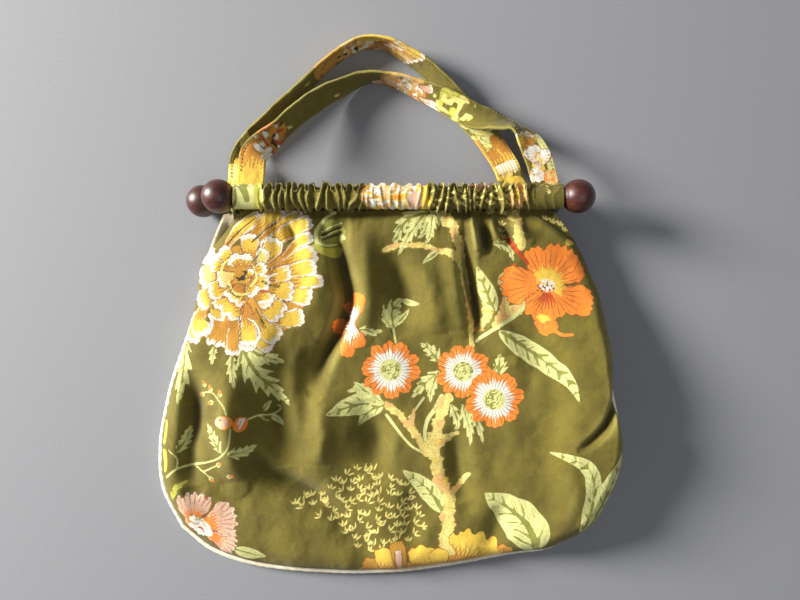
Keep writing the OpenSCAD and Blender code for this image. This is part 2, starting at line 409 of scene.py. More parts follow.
class Print:
    """Inks on a cloth. Each ink holds how far inside its shapes every point is."""

    def __init__(self, x, y):
        self.x, self.y = x.ravel(), y.ravel()
        self.ink = {name: np.full(self.x.shape, OUTSIDE) for name in INKS}
        self.place = np.zeros((len(self.x), 3))
        self.pattern = np.zeros((len(self.x), 3))

    def near(self, points, reach):
        """Indices of the cloth's points inside a box round some points."""
        p = np.asarray(points, float)
        inside = (self.x > p[:, 0].min() - reach) & (self.x < p[:, 0].max() + reach)
        inside &= (self.y > p[:, 1].min() - reach) & (self.y < p[:, 1].max() + reach)
        return np.flatnonzero(inside)

    def lay(self, near, ink, depth, pattern=None, along=0.0, across=0.0, share=0.0):
        """Puts an ink over the others where depth is above 0."""
        for name, held in self.ink.items():
            if name == ink:
                held[near] = np.maximum(held[near], depth)
            else:
                held[near] = np.minimum(held[near], -depth)
        covered = depth > -0.7
        at = near[covered]
        self.pattern[at] = 0
        self.place[at] = 0
        if pattern == "bark":
            self.place[at, 2] = BARK
        elif pattern:
            self.pattern[at, PATTERNS.index(pattern)] = 1
            for k, value in enumerate((along, across, share)):
                self.place[at, k] = np.broadcast_to(value, depth.shape)[covered]

    def ribbon(self, points, reach):
        """Points near a path: indices, share along it, distance to its left, and its length."""
        path = smooth_path(points, 3.0)
        near = self.near(path, reach)
        share, side = beside_path(self.x[near], self.y[near], path)
        return near, share, side, np.linalg.norm(np.diff(path, axis=0), axis=1).sum()

    def stem(self, points, half=1.0, ink="leaf"):
        near, t, n, _ = self.ribbon(points, half + 4)
        self.lay(near, ink, half * (1.15 - 0.4 * t) - np.abs(n))

    def leaf(self, points, half, teeth=0, dark=1, ink="leaf"):
        near, t, n, length = self.ribbon(points, half * 1.6 + 3)
        width = half * np.sin(math.pi * np.clip(t, 0, 0.999) ** 0.72) ** 0.85
        width = width * (1 + 0.14 * noise(t * length, 0 * n + np.sign(n) * 9, 9, 19))
        if teeth:
            saw = (t * teeth - np.abs(n) * 0.55 * teeth / length + 0.35 * (n > 0)) % 1.0
            width = width * (0.52 + 0.72 * saw**1.5)
        depth = width - np.abs(n)
        self.lay(near, ink, depth, "leaf", t * length, n)
        blot = noise(self.x[near], self.y[near], 5.0, 17)
        fold = np.minimum(dark * n + 0.1, half * (0.36 - 0.36 * t) + 1.3 * blot - 0.3 - dark * n)
        shade = np.minimum(np.minimum(depth - 1.0, fold), (0.75 - t) * length)
        self.lay(near, "shade", shade, "leaf", t * length, n)
        if half > 6:
            turn = ((t * length - 1.2 * np.abs(n)) / 12 + 0.12 * blot) % 1.0
            stroke = 1.1 + 1.2 * noise(self.x[near], self.y[near], 9, 18) - 12 * np.abs(turn - 0.5)
            stroke = np.minimum(stroke, width * 0.72 - np.abs(n))
            self.lay(near, "shade", np.minimum(depth - 0.9, stroke), "leaf", t * length, n)

    def petal(
        self, points, half, ink="yellow", rim="white", rim_width=2.4, edge="ochre", lobes=3, rays=False
    ):
        """Fan-shaped petal with a lobed tip, a streaky rim and a thin outline."""
        near, t, n, length = self.ribbon(points, half * 1.5 + 4)
        ruffle = noise(self.x[near], self.y[near], 4.2, 11)
        width = half * (0.42 + 0.58 * smoothstep(t, 0, 0.65)) * (1 + 0.14 * ruffle)
        dip = 0.5 - 0.5 * np.cos(math.pi * lobes * n / half)
        dip = half * (0.45 * np.abs(n / half) ** 3 + 0.2 * dip) * (1 + 0.4 * ruffle)
        tip = (1 - t) * length - dip - np.abs(n) * (t > 0.999)
        depth = np.minimum(width - np.abs(n), tip)
        place = ("petal", t * length, n, t)
        if rays:
            dx, dy = self.x[near] - points[0][0], self.y[near] - points[0][1]
            place = ("ray", np.hypot(dx, dy), np.arctan2(dy, dx), 0)
        if edge:
            self.lay(near, edge, depth + 0.7)
        if rim:
            self.lay(near, rim, depth, *place)
            streak = np.abs((n / 2.7 + 0.35 * ruffle) % 1.0 - 0.5) * 2
            tip = tip - rim_width * (0.5 + 1.8 * streak)
            depth = np.minimum(depth - rim_width * (0.12 + 0.45 * t), tip)
        self.lay(near, ink, depth, *place)
        if ink == "yellow":
            streak = np.abs((n / 2.9 + 0.35 * ruffle + 0.3) % 1.0 - 0.5) * 2
            base = np.minimum(depth - 0.8, (0.2 + 0.4 * streak - t) * length)
            self.lay(near, "ochre", base, *place)

    def streaks(self, points, half, ink, low, high):
        """Spikes of an ink that start at the base of a petal and end between the shares low and high."""
        near, t, n, length = self.ribbon(points, half)
        spike = np.abs((n / 2.8 + 0.2) % 1.0 - 0.5) * 2
        inside = 0.82 * half * (0.42 + 0.58 * smoothstep(t, 0, 0.65)) - np.abs(n)
        self.lay(near, ink, np.minimum(inside, (low + (high - low) * spike - t) * length))

    def polar(self, centre, radius):
        """Points near a centre: indices, distance from it and angle about it."""
        near = self.near([centre], radius * 1.35 + 2)
        dx, dy = self.x[near] - centre[0], self.y[near] - centre[1]
        return near, np.hypot(dx, dy), np.arctan2(dy, dx)

    def anemone(self, centre, radius, petals, turn):
        """Round flower: orange petals, white rays and a dotted green middle."""
        near, r, angle = self.polar(centre, radius)
        x, y = np.cos(angle), np.sin(angle)
        lobe = np.abs(np.sin(petals * (angle - turn) / 2 + noise(2 * x, 2 * y, 1, 3)))
        small = np.abs(np.sin(1.5 * petals * (angle - turn) + 0.7))
        edge = radius * (0.66 + 0.30 * lobe**0.4 + 0.05 * small + 0.05 * noise(1.5 * x, 1.5 * y, 1, 4))
        self.lay(near, "orange", edge - r, "ray", r, angle)
        spike = np.abs(((angle - turn) * 38 / (2 * math.pi)) % 1.0 - 0.5) * 2
        reach = 0.5 + 0.5 * noise(6 * x, 6 * y, 1, 5)
        ray = radius * (0.5 + 0.44 * spike * (0.5 + 0.5 * reach) * lobe**0.3)
        self.lay(near, "white", ray - r, "ray", r, angle)
        self.lay(near, "leaf", 0.36 * radius + 0.4 * small - r)
        dots = noise(self.x[near], self.y[near], 1.3, 8) + 0.5 * np.sin(r * 2.6)
        self.lay(near, "shade", np.minimum(1.4 * dots - 0.35, 0.34 * radius - r))

    def blob(self, centre, wide, high, turn, ink, ragged, seed):
        """Ellipse with a ragged edge."""
        near, r, angle = self.polar(centre, max(wide, high))
        a = angle - math.radians(turn)
        edge = 1 / np.hypot(np.cos(a) / wide, np.sin(a) / high)
        wave = noise(np.cos(angle) * 2.2, np.sin(angle) * 2.2, 1, seed)
        wave = wave + 0.5 * noise(np.cos(angle) * 6, np.sin(angle) * 6, 1, seed + 1)
        edge = edge * (1 + ragged * wave)
        self.lay(near, ink, edge - r)

    def bark(self, points, half, tip):
        """Gnarled branch in cream, peach and yellow, with dark flecks."""
        near, t, n, length = self.ribbon(points, half * 2 + 3)
        width = half + (tip - half) * t
        x, y = self.x[near], self.y[near]
        side = np.where(n > 0, 40.0, 0.0)
        knots = noise(t * length + side, side, 4.2, 21) + 0.5 * noise(t * length + side, side, 2.1, 22)
        thorns = np.maximum(0, noise(t * length + side, side, 2.6, 25) - 0.45)
        depth = width * (1 + 0.42 * knots + 1.3 * thorns) - np.abs(n)
        self.lay(near, "cream", depth, "bark")
        self.lay(near, "peach", np.minimum(depth, 1.3 * noise(x, y, 9, 23) - 0.35), "bark")
        self.lay(near, "yellow", np.minimum(depth - 0.5, 1.6 * noise(x, y, 4, 24) - 0.9), "bark")

    def mottle(self, centre, wide, high, ink, size, cut, seed):
        """Ragged patches of an ink inside an ellipse."""
        near, r, angle = self.polar(centre, max(wide, high))
        edge = 1 / np.hypot(np.cos(angle) / wide, np.sin(angle) / high)
        patches = 0.5 * size * (noise(self.x[near], self.y[near], size, seed) - cut)
        self.lay(near, ink, np.minimum(edge - r, patches))

    def sprig(self, at, size, turn, ink="cream"):
        """Three thin strokes that open like a fan."""
        for bend in (-40, 2, 38):
            a = math.radians(turn + bend)
            x, y = math.cos(a), math.sin(a)
            start = (at[0] + 0.22 * size * x, at[1] + 0.22 * size * y)
            end = (at[0] + size * x, at[1] + size * y)
            near, t, n, _ = self.ribbon([start, end], 2.5)
            width = 0.85 * np.sin(math.pi * (0.12 + 0.76 * t)) * (1 - 0.3 * t)
            self.lay(near, ink, width - np.abs(n) - 0.5 * (t > 0.999))

    def onto(self, obj):
        """Writes the inks and patterns to the outer face's points."""
        names = list(INKS)
        for k in range(4):
            columns = [self.ink[n] for n in names[3 * k : 3 * k + 3]]
            paint(obj, f"ink_{k}", np.stack(columns, 1), OUTSIDE)
        paint(obj, "place", self.place)
        paint(obj, "pattern", self.pattern)


# The yellow flower's petals: path from the middle out, half width
YELLOW_PETALS = [
    ([(-172, -1), (-181, -16), (-188, -37)], 8.5, "yellow"),
    ([(-157, -5), (-159, -25), (-161, -41)], 10.4, "ochre"),
    ([(-146, -5), (-144, -27), (-146, -49)], 6.6, "ochre"),
    ([(-132, -22), (-118, -36), (-109, -43)], 5.7, "yellow"),
    ([(-137, -5), (-131, -25), (-133, -45)], 7.6, "yellow"),
    ([(-127, -5), (-116, -22), (-102, -34)], 7.6, "yellow"),
    ([(-116, -3), (-100, -14), (-78, -11)], 7.6, "yellow"),
    ([(-116, 8), (-94, 11), (-70, 6)], 8.5, "yellow"),
    ([(-175, -5), (-179, -16), (-172, -30)], 8.5, "yellow"),
    ([(-155, 47), (-142, 65), (-117, 84)], 5.5, "yellow"),
    ([(-127, 60), (-115, 75), (-95, 89)], 6.6, "yellow"),
    ([(-120, 58), (-105, 71), (-79, 86)], 4.7, "yellow"),
    ([(-116, 42), (-102, 62), (-70, 79)], 6.6, "yellow"),
    ([(-96, 45), (-83, 58), (-69, 64)], 4.7, "yellow"),
    ([(-105, 34), (-83, 42), (-65, 49)], 7.6, "yellow"),
    ([(-107, 23), (-83, 21), (-59, 22)], 5.2, "yellow"),
    ([(-105, 30), (-83, 33), (-65, 35)], 6.6, "yellow"),
    ([(-116, 38), (-111, 51), (-106, 62)], 7.6, "yellow"),
    ([(-159, 42), (-168, 44), (-174, 52)], 8.5, "white"),
    ([(-159, 27), (-170, 25), (-180, 21)], 11.3, "cream"),
    ([(-164, 14), (-172, 6), (-181, -1)], 8.5, "yellow"),
    ([(-163, 10), (-157, -3), (-148, -11)], 10.4, "yellow"),
]
INNER_PETALS = [
    ([(-120, 8), (-108, -4), (-98, -12)], 11, "yellow"),
    ([(-132, -4), (-131, -22), (-131, -40)], 8, "yellow"),
    ([(-139, 6), (-149, -2), (-156, -11)], 15, "yellow"),
    ([(-118, 19), (-104, 14), (-87, 12)], 9, "yellow"),
    ([(-116, 30), (-103, 28), (-90, 31)], 7, "yellow"),
    ([(-118, 36), (-110, 48), (-103, 62)], 8, "yellow"),
    ([(-128, 40), (-128, 52), (-129, 66)], 8, "yellow"),
    ([(-122, 34), (-118, 42), (-114, 52)], 5.5, "cream"),
    ([(-146, 38), (-152, 46), (-158, 52)], 7, "yellow"),
    ([(-152, 32), (-160, 36), (-168, 37)], 6, "yellow"),
    ([(-150, 18), (-160, 14), (-170, 12)], 8, "yellow"),
    ([(-126, 10), (-116, 4), (-110, -2)], 7, "yellow"),
    ([(-140, 14), (-144, 8), (-149, 2)], 11, "yellow"),
    ([(-128, 22), (-120, 21), (-110, 20)], 7, "yellow"),
    ([(-127, 30), (-120, 33), (-113, 36)], 5.5, "yellow"),
    ([(-134, 34), (-133, 41), (-133, 48)], 6, "yellow"),
    ([(-140, 35), (-143, 41), (-147, 46)], 6, "yellow"),
    ([(-146, 27), (-152, 25), (-161, 23)], 8, "cream"),
    ([(-131, 20), (-128, 14), (-123, 9)], 6.5, "yellow"),
]
SWIRLS = [
    ([(-150, 21), (-146, 12), (-138, 9), (-130, 11)], 1.1, "cream"),
    ([(-150, 17), (-144, 8), (-134, 5)], 0.6, "line"),
    ([(-149, 38), (-141, 44), (-131, 42)], 1.0, "white"),
    ([(-129, 17), (-123, 25), (-126, 36)], 1.0, "cream"),
    ([(-157, 28), (-155, 37), (-148, 43)], 1.1, "cream"),
    ([(-127, 40), (-121, 45), (-117, 54)], 0.6, "line"),
    ([(-118, 28), (-112, 26), (-104, 29)], 1.0, "white"),
    ([(-119, 22), (-110, 18), (-100, 17)], 0.6, "line"),
    ([(-120, 2), (-112, 3), (-106, 9)], 1.0, "white"),
    ([(-124, -4), (-118, -16), (-112, -26)], 0.7, "line"),
    ([(-140, -12), (-138, -24), (-138, -34)], 0.7, "line"),
    ([(-124, -38), (-120, -28), (-124, -18), (-131, -14)], 0.9, "white"),
    ([(-168, -10), (-165, -18), (-168, -28)], 1.2, "white"),
    ([(-150, 56), (-138, 68), (-122, 80)], 0.7, "line"),
    ([(-126, 58), (-112, 70), (-98, 80)], 0.7, "line"),
]
SIDE_PETALS = [
    ([(-34, -18), (-30, -4), (-26, 11)], 7),
    ([(-33, -14), (-36, -6), (-39, 2)], 6),
    ([(-33, -22), (-42, -22), (-54, -22)], 7.5),
    ([(-35, -22), (-38, -36), (-39, -51)], 7),
    ([(-33, -22), (-28, -32), (-26, -42)], 6.5),
]
POPPY_PETALS = [
    ([(146, 22), (140, 38), (134, 53)], 9.5, 3),
    ([(152, 18), (168, 28), (185, 34)], 10, 3),
    ([(150, 20), (160, 38), (167, 55)], 18, 5),
    ([(152, 12), (172, 5), (192, 1)], 14, 5),
    ([(138, 2), (145, -14), (154, -27)], 9, 3),
    ([(142, 19), (126, 19), (106, 17)], 18, 5),
    ([(152, 16), (148, 2), (146, -16)], 20, 5),
]
JAGGED_LEAVES = [
    ([(-138, -39), (-128, -61), (-115, -77), (-94, -98)], 12, 6, 1),
    ([(-134, -39), (-118, -48), (-98, -56)], 9, 5, -1),
    ([(-163, -39), (-166, -58)], 4, 3, 1),
    ([(-146, -46), (-146, -62), (-143, -80)], 5, 4, 1),
    ([(-195, -30), (-196, -62), (-200, -96)], 9, 4, 1),
    ([(38, 87), (17, 78), (5, 51)], 7, 6, 1),
    ([(36, 85), (21, 65), (10, 46)], 6, 6, -1),
    ([(39, 84), (35, 68), (28, 61)], 4.5, 4, 1),
    ([(42, 87), (40, 65), (34, 55)], 5, 4, 1),
    ([(42, 89), (47, 80), (48, 72)], 4.5, 4, 1),
    ([(98, 57), (112, 54), (118, 40)], 4.5, 5, 1),
    ([(5, -23), (4, -7), (14, 6)], 10, 4, -1),
    ([(4, -23), (-2, -14), (-5, -7)], 4, 3, 1),
    ([(50, -55), (40, -43), (31, -37)], 7, 4, 1),
    ([(106, -68), (106, -58), (106, -46)], 7, 4, 1),
    ([(50, -64), (36, -76), (23, -90)], 7, 5, 1),
    ([(48, -67), (42, -83), (41, -95)], 5, 4, -1),
    ([(-7, -93), (-24, -82), (-40, -84)], 6, 4, 1),
    ([(61, -95), (67, -114), (64, -121)], 5, 3, 1),
    ([(71, -95), (78, -119), (79, -135)], 5, 4, 1),
    ([(76, -95), (86, -114), (91, -133)], 4.5, 4, -1),
    ([(-156, -140), (-164, -126), (-172, -112)], 6.5, 5, 1),
    ([(-150, -140), (-137, -140), (-124, -134)], 6, 4, -1),
    ([(-202, -143), (-195, -131), (-189, -116)], 5.5, 5, 1),
    ([(-119, -103), (-116, -97), (-112, -93)], 2.4, 0, 1),
    ([(-113, -108), (-107, -112), (-101, -118)], 3.0, 0, 1),
]
SMOOTH_LEAVES = [
    ([(48, 50), (40, 44), (33, 38)], 3, 1),
    ([(101, -7), (93, 13), (84, 36)], 7.5, 1),
    ([(104, -25), (125, -39), (149, -55), (168, -72), (176, -90)], 10, 1),
    ([(-3, -96), (-30, -97), (-59, -106)], 11, 1),
    ([(-6, -94), (-20, -84), (-33, -74)], 5, 1),
    ([(-4, -98), (-18, -105), (-29, -118)], 6.5, -1),
    ([(52, -200), (38, -178), (14, -159)], 9.5, -1),
    ([(14, 4), (23, 1), (31, 0)], 3, 1),
    ([(7, -20), (17, -10), (21, -4)], 3, -1),
    ([(-148, -236), (-134, -240), (-117, -244)], 6, 1),
    ([(140, -236), (127, -205), (92, -179)], 20, -1),
    ([(180, -214), (186, -192), (190, -170), (184, -150), (168, -142), (150, -138)], 8, -1),
    ([(192, -205), (205, -174), (218, -136)], 11, 1),
]
STEMS = [
    ([(-1, -107), (9, -120), (23, -136), (40, -145)], 1.3),
    ([(35, -90), (23, -106), (20, -109)], 1.0),
    ([(52, -88), (46, -100), (38, -112), (36, -128), (42, -147)], 1.9),
    ([(104, -22), (104, -7)], 1.2),
    ([(5, -20), (8, -37)], 1.1),
    (
        [(-212, -166), (-202, -158), (-188, -155), (-166, -149), (-154, -141), (-148, -132), (-146, -116)],
        0.9,
    ),
    ([(-149, -103), (-152, -95), (-158, -89), (-165, -83), (-175, -84)], 0.7),
    ([(-132, -109), (-123, -106), (-114, -107), (-106, -104), (-104, -99), (-108, -99)], 0.7),
    ([(-123, -106), (-118, -111), (-114, -113)], 0.6),
    ([(-202, -158), (-202, -148), (-210, -140)], 0.7),
    ([(-188, -155), (-177, -161), (-170, -166)], 0.7),
    ([(-177, -161), (-169, -157), (-163, -154)], 0.7),
]
BRANCHES = [
    ([(51, 84), (60, 72), (67, 58), (71, 40), (74, 23), (77, 5), (79, -20), (80, -39)], 5.2, 2.2),
    (
        [(59, -238), (57, -216), (56, -190), (49, -164), (46, -142), (46, -124), (52, -102), (58, -90)],
        7.2, 5.0,
    ),
    ([(50, -130), (58, -128), (67, -124)], 4.0, 2.0),
    ([(58, -194), (63, -182), (70, -172), (78, -162)], 4.5, 1.6),
    ([(-1, -96), (7, -103), (17, -112), (27, -124), (38, -141)], 3.0, 4.5),
    ([(22, -116), (24, -108), (26, -101)], 2.2, 1.2),
    ([(-3, 51), (12, 55), (33, 55), (48, 50), (61, 47), (72, 34)], 2.0, 3.2),
    ([(114, 90), (120, 76), (125, 54)], 5.0, 4.0),
    ([(97, 2), (93, -10), (88, -24)], 5.0, 3.0),
]
# Small buds: where each is, and which way it points
BUDS = [
    (-166, -82, 110), (-156, -86, 95), (-175, -86, 190), (-164, -92, 200), (-173, -78, 120),
    (-162, -154, 40), (-170, -166, -50), (-152, -164, 10),
]


def yellow_flower(p):
    p.blob((-124, 14), 48, 40, -20, "ochre", 0.06, 30)
    for path, half, ink in YELLOW_PETALS:
        p.petal(path, 1.15 * half, ink=ink, rim_width=3.0)
    p.blob((-134, 22), 28, 28, 0, "ochre", 0.08, 31)
    for path, half, ink in INNER_PETALS:
        p.petal(path, 1.1 * half, ink=ink, rim_width=2.8, edge="line" if half < 7 else "rust")
    for path, half, ink in SWIRLS:
        p.stem(path, half, ink)
    p.blob((-137, 28), 8.5, 7, 20, "ochre", 0.2, 40)
    p.blob((-137, 27), 6.0, 4.4, 20, "line", 0.3, 41)
    p.blob((-139, 28.5), 3.6, 2.6, 20, "ochre", 0.3, 42)
    p.petal([(-133, 26), (-130, 28), (-127, 33)], 3.2, ink="yellow", rim_width=1.6, edge="line")


def poppy(p):
    for path in ([(110, 24), (112, 8), (109, -8), (101, -19)], [(126, -2), (114, -9), (104, -13)]):
        p.bark(path, 5.0, 3.8)
    p.stem([(130, -1), (118, -12), (103, -21), (84, -35)], 1.9)
    for path, half, lobes in POPPY_PETALS:
        p.petal(path, half, ink="orange", rim=None, edge="rust", lobes=lobes, rays=True)
    # A dark rust stripe along a fold: painted shadow, not print
    p.stem([(113, 62), (121, 50), (131, 38)], 2.2, "rust")
    p.stem([(152, -21), (161, -28), (171, -28)], 1.5, "orange")
    p.blob((146, -13), 6.5, 3.4, -15, "yellow", 0.35, 56)
    p.blob((170, 58), 5, 3, 0, "yellow", 0.25, 57)
    for k in range(9):
        a = math.radians(205 + 15 * k)
        start = (148 + 13 * math.cos(a), 6 + 11 * math.sin(a))
        p.stem([(150, 13), start], 0.6, "rust")
    p.blob((151, 21), 11, 9, -20, "yellow", 0.2, 58)
    for k in range(21):
        a = math.radians(-40 + 9 * k)
        reach = 17.5 + 2.5 * math.sin(2.4 * k)
        end = (149 + reach * math.cos(a), 18 + reach * math.sin(a))
        p.stem([(149 + 6 * math.cos(a), 18 + 6 * math.sin(a)), end], 0.95, "yellow")
    for k in range(12):
        a = math.radians(-50 + 16 * k)
        end = (148 + 9 * math.cos(a), 17 + 7 * math.sin(a))
        p.stem([(148 + 4 * math.cos(a), 17 + 3 * math.sin(a)), end], 0.55, "white")
    p.blob((147, 15), 6, 2.6, -35, "white", 0.35, 59)
    for k in range(16):
        spread = (k / 16) ** 0.5
        at = (147 + 9 * math.cos(2.4 * k) * spread, 15.5 + 6 * math.sin(2.4 * k) * spread)
        p.blob(at, 1.1, 1.0, 0, ("line", "rust", "orange", "line")[k % 4], 0.2, k)


def side_flower(p):
    """Orange flower seen from the side, with long white streaks."""
    p.leaf([(-28, -24), (-20, -25), (-14, -27), (-4, -25)], 4.5, 3, 1)
    for path, half in SIDE_PETALS:
        p.petal(path, half, ink="orange", rim=None, edge="rust")
    for path, half in SIDE_PETALS:
        p.streaks(path, half, "white", 0.02, 0.72)
    p.stem([(-38, -34), (-35, -24), (-32, -14), (-29, -4)], 0.6, "white")


def berries(p):
    p.stem([(-214, -114), (-214, -124), (-216, -134)], 2.0, "bright")
    p.stem([(-215, -142), (-213, -152), (-214, -160)], 2.2, "bright")
    p.leaf([(-207, -188), (-202, -176), (-191, -169)], 3.4, 3, 1, "bright")
    p.blob((-152, -110), 8, 6.5, 0, "orange", 0.04, 61)
    p.blob((-154, -110), 6.5, 5.6, 0, "pink", 0.1, 62)
    p.blob((-155, -107.5), 1.8, 1.2, 0, "rust", 0.2, 63)
    p.blob((-138, -113), 5.6, 7.4, -20, "orange", 0.04, 64)
    p.stem([(-135, -108), (-137, -113), (-139, -117)], 1.0, "white")
    p.stem([(-138, -108), (-140, -113)], 0.8, "white")
    for x, y, turn in BUDS:
        a = math.radians(turn)
        along = [(x + reach * math.cos(a), y + reach * math.sin(a)) for reach in (-1, 3, 7)]
        p.leaf(along, 2.4)
        p.leaf([(x + 1.5 * math.cos(a), y + 1.5 * math.sin(a)), along[2]], 1.6, 0, 1, "orange")


def corner_flower(p):
    for path, half in [
        ([(-168, -224), (-158, -228), (-145, -233)], 12),
        ([(-187, -208), (-186, -196), (-185, -180)], 18),
        ([(-174, -212), (-162, -208), (-145, -204)], 18),
    ]:
        p.petal(path, half, ink="pink", rim="white", rim_width=1.0, edge="rust", lobes=5, rays=True)
        p.streaks(path, half, "orange", 0.05, 0.6)
    p.blob((-181, -214), 12, 7.5, -45, "white", 0.28, 71)
    p.stem([(-186, -206), (-179, -208), (-175, -216)], 0.7, "ochre")
    p.stem([(-188, -210), (-184, -212), (-181, -211)], 0.7, "ochre")
    p.stem([(-182, -215), (-179, -216), (-177, -220)], 0.7, "rust")


def sprig_field(p):
    """Small sprigs scattered over a patch between two curved edges."""
    rng = np.random.default_rng(5)
    placed = []
    for _ in range(4000):
        at = rng.uniform((-90, -240), (34, -158))
        low = np.interp(at[0], [-90, -64, -36, -25, 20, 36], [-197, -206, -224, -242, -236, -210])
        high = np.interp(
            at[0], [-90, -66, -50, -30, 0, 22, 36], [-192, -184, -168, -160, -165, -178, -206]
        )
        if low < at[1] < high and all(np.hypot(*(at - q)) > 7.0 for q in placed):
            placed.append(at)
            p.sprig(at, rng.uniform(6.4, 9.0), rng.uniform(30, 140) - 20 * (at[0] + 30) / 70)
    for at in [(147, 78), (154, 75), (161, 73), (166, 68), (173, 77), (106, 73), (106, 67), (110, 61)]:
        p.sprig(at, 6.0, 70)


def bud_leaf(p):
    """Rolled green bud with dark veins, under the casing."""
    p.blob((-55, 52), 13, 7, -15, "bright", 0.2, 81)
    p.blob((-53, 66), 14, 12, 30, "shade", 0.1, 82)
    p.stem([(-66, 58), (-66, 69), (-59, 79), (-49, 86)], 1.7)
    p.stem([(-64, 57), (-57, 55), (-48, 57)], 1.2)
    p.leaf([(-46, 60), (-42, 64), (-39, 60)], 2.0)
    for rise in (0, 5):
        p.stem([(-62, 63 + rise), (-52, 68 + rise), (-43, 71 + rise)], 0.8)
        p.stem([(-61, 60 + rise), (-51, 65 + rise), (-43, 68 + rise)], 1.0, "line")


def bottom_flower(p):
    """Tips of a large yellow flower that the bottom seam cuts off."""
    p.stem([(-20, -264), (14, -258), (56, -254)], 9, "ochre")
    p.stem([(58, -252), (86, -244), (112, -240)], 9, "ochre")
    for path, half, ink in [
        ([(-22, -264), (-16, -254), (-12, -246)], 9, "ochre"),
        ([(0, -266), (-1, -250), (-4, -233)], 10, "yellow"),
        ([(18, -264), (12, -246), (8, -227)], 7, "ochre"),
        ([(30, -262), (33, -248), (32, -231)], 13, "yellow"),
        ([(50, -262), (50, -248), (48, -234)], 9, "yellow"),
        ([(98, -256), (108, -244), (118, -232)], 9, "ochre"),
    ]:
        p.petal(path, half, ink=ink, rim=None, edge="rust", lobes=2)
    p.petal([(72, -256), (82, -240), (91, -217)], 27, rim=None, edge="rust", lobes=4, rays=True)
    p.petal([(12, -262), (11, -248), (10, -236)], 3.2, ink="pink", rim="white", edge="rust", rim_width=1.2)


def garden(p):
    """The whole print of the front."""
    for path, half, teeth, dark in JAGGED_LEAVES[:6]:
        p.leaf(path, half, teeth, dark)
    yellow_flower(p)
    bud_leaf(p)
    for path, half in STEMS:
        p.stem(path, half)
    for path, half, tip in BRANCHES:
        p.bark(path, half, tip)
    for path, half, teeth, dark in JAGGED_LEAVES[6:]:
        p.leaf(path, half, teeth, dark)
    for path, half, dark in SMOOTH_LEAVES:
        p.leaf(path, half, 0, dark)
    poppy(p)
    p.anemone((72, -64), 26, 9, 0.2)
    p.anemone((101, -90), 27.5, 8, 0.5)
    p.anemone((3, -63), 28.5, 10, 0.1)
    side_flower(p)
    berries(p)
    corner_flower(p)
    sprig_field(p)
    bottom_flower(p)


# ---------------------------------------------------------------- materials
class Shader:
    """Short calls that build one material's nodes."""

    def __init__(self, name, roughness=0.9):
        self.material = bpy.data.materials.new(name)
        self.material.use_nodes = True
        self.nodes = self.material.node_tree.nodes
        self.links = self.material.node_tree.links
        self.out = self.nodes["Principled BSDF"].inputs
        self.out["Roughness"].default_value = roughness

    def put(self, socket, value):
        """Links a socket to a node's output, or gives it a value."""
        if isinstance(value, bpy.types.NodeSocket):
            self.links.new(value, socket)
        else:
            socket.default_value = value

    def node(self, kind, values, output=0, **settings):
        node = self.nodes.new("ShaderNode" + kind)
        for key, value in settings.items():
            setattr(node, key, value)
        for key, value in values.items():
            self.put(node.inputs[key], value)
        return node.outputs[output]

    def attribute(self, name, output="Vector"):
        return self.node("Attribute", {}, output, attribute_name=name)

    def math(self, operation, a, b=0.0):
        return self.node("Math", {0: a, 1: b}, operation=operation)

    def times(self, first, *others):
        """The product of some values."""
        for other in others:
            first = self.math("MULTIPLY", first, other)
        return first

    def parts(self, vector):
        node = self.nodes.new("ShaderNodeSeparateXYZ")
        self.put(node.inputs[0], vector)
        return node.outputs

    def scaled(self, vector, x, y, z=1.0):
        return self.node("VectorMath", {0: vector, 1: (x, y, z)}, operation="MULTIPLY")

    def step(self, value, low, high, to_low=0.0, to_high=1.0):
        """Smooth change from to_low to to_high while the value goes from low to high."""
        values = {"Value": value, "From Min": low, "From Max": high, "To Min": to_low, "To Max": to_high}
        return self.node("MapRange", values, interpolation_type="SMOOTHSTEP")

    def mix(self, factor, a, b, blend="MIX"):
        a = a if isinstance(a, bpy.types.NodeSocket) else (*a, 1)
        b = b if isinstance(b, bpy.types.NodeSocket) else (*b, 1)
        return self.node("Mix", {0: factor, 6: a, 7: b}, 2, data_type="RGBA", blend_type=blend)

    def noise(self, vector, scale, detail=2.0, roughness=0.5):
        values = {"Vector": vector, "Scale": scale, "Detail": detail, "Roughness": roughness}
        return self.node("TexNoise", values)

    def bump(self, height, distance, strength=1.0, normal=None):
        values = {"Height": height, "Distance": distance, "Strength": strength}
        if normal is not None:
            values["Normal"] = normal
        return self.node("Bump", values)

    def weave(self, cloth, pitch):
        """Height of a plain weave with that pitch."""
        x, y, _ = self.parts(self.scaled(cloth, 2 * math.pi / pitch, 2 * math.pi / pitch))
        return self.times(self.math("SINE", x), self.math("SINE", y))

    def millimetres(self):
        """Object coordinates in millimetres."""
        return self.scaled(self.node("TexCoord", {}, "Object"), 1000, 1000, 1000)

    def shaded(self, colour, value):
        """The colour made lighter or darker by a value."""
        grey = self.node("CombineColor", {0: value, 1: value, 2: value})
        return self.mix(1.0, colour, grey, "MULTIPLY")


def ink_colours(s, colour, fuzz):
    """Each ink over the last, with a ragged edge."""
    ragged = s.times(s.math("SUBTRACT", fuzz, 0.5), 1.1)
    names = list(INKS)
    for k in range(4):
        channels = s.parts(s.attribute(f"ink_{k}"))
        for ink, channel in zip(names[3 * k : 3 * k + 3], channels):
            cover = s.step(s.math("ADD", channel, ragged), -0.42, 0.28)
            colour = s.mix(cover, colour, INKS[ink])
    return colour


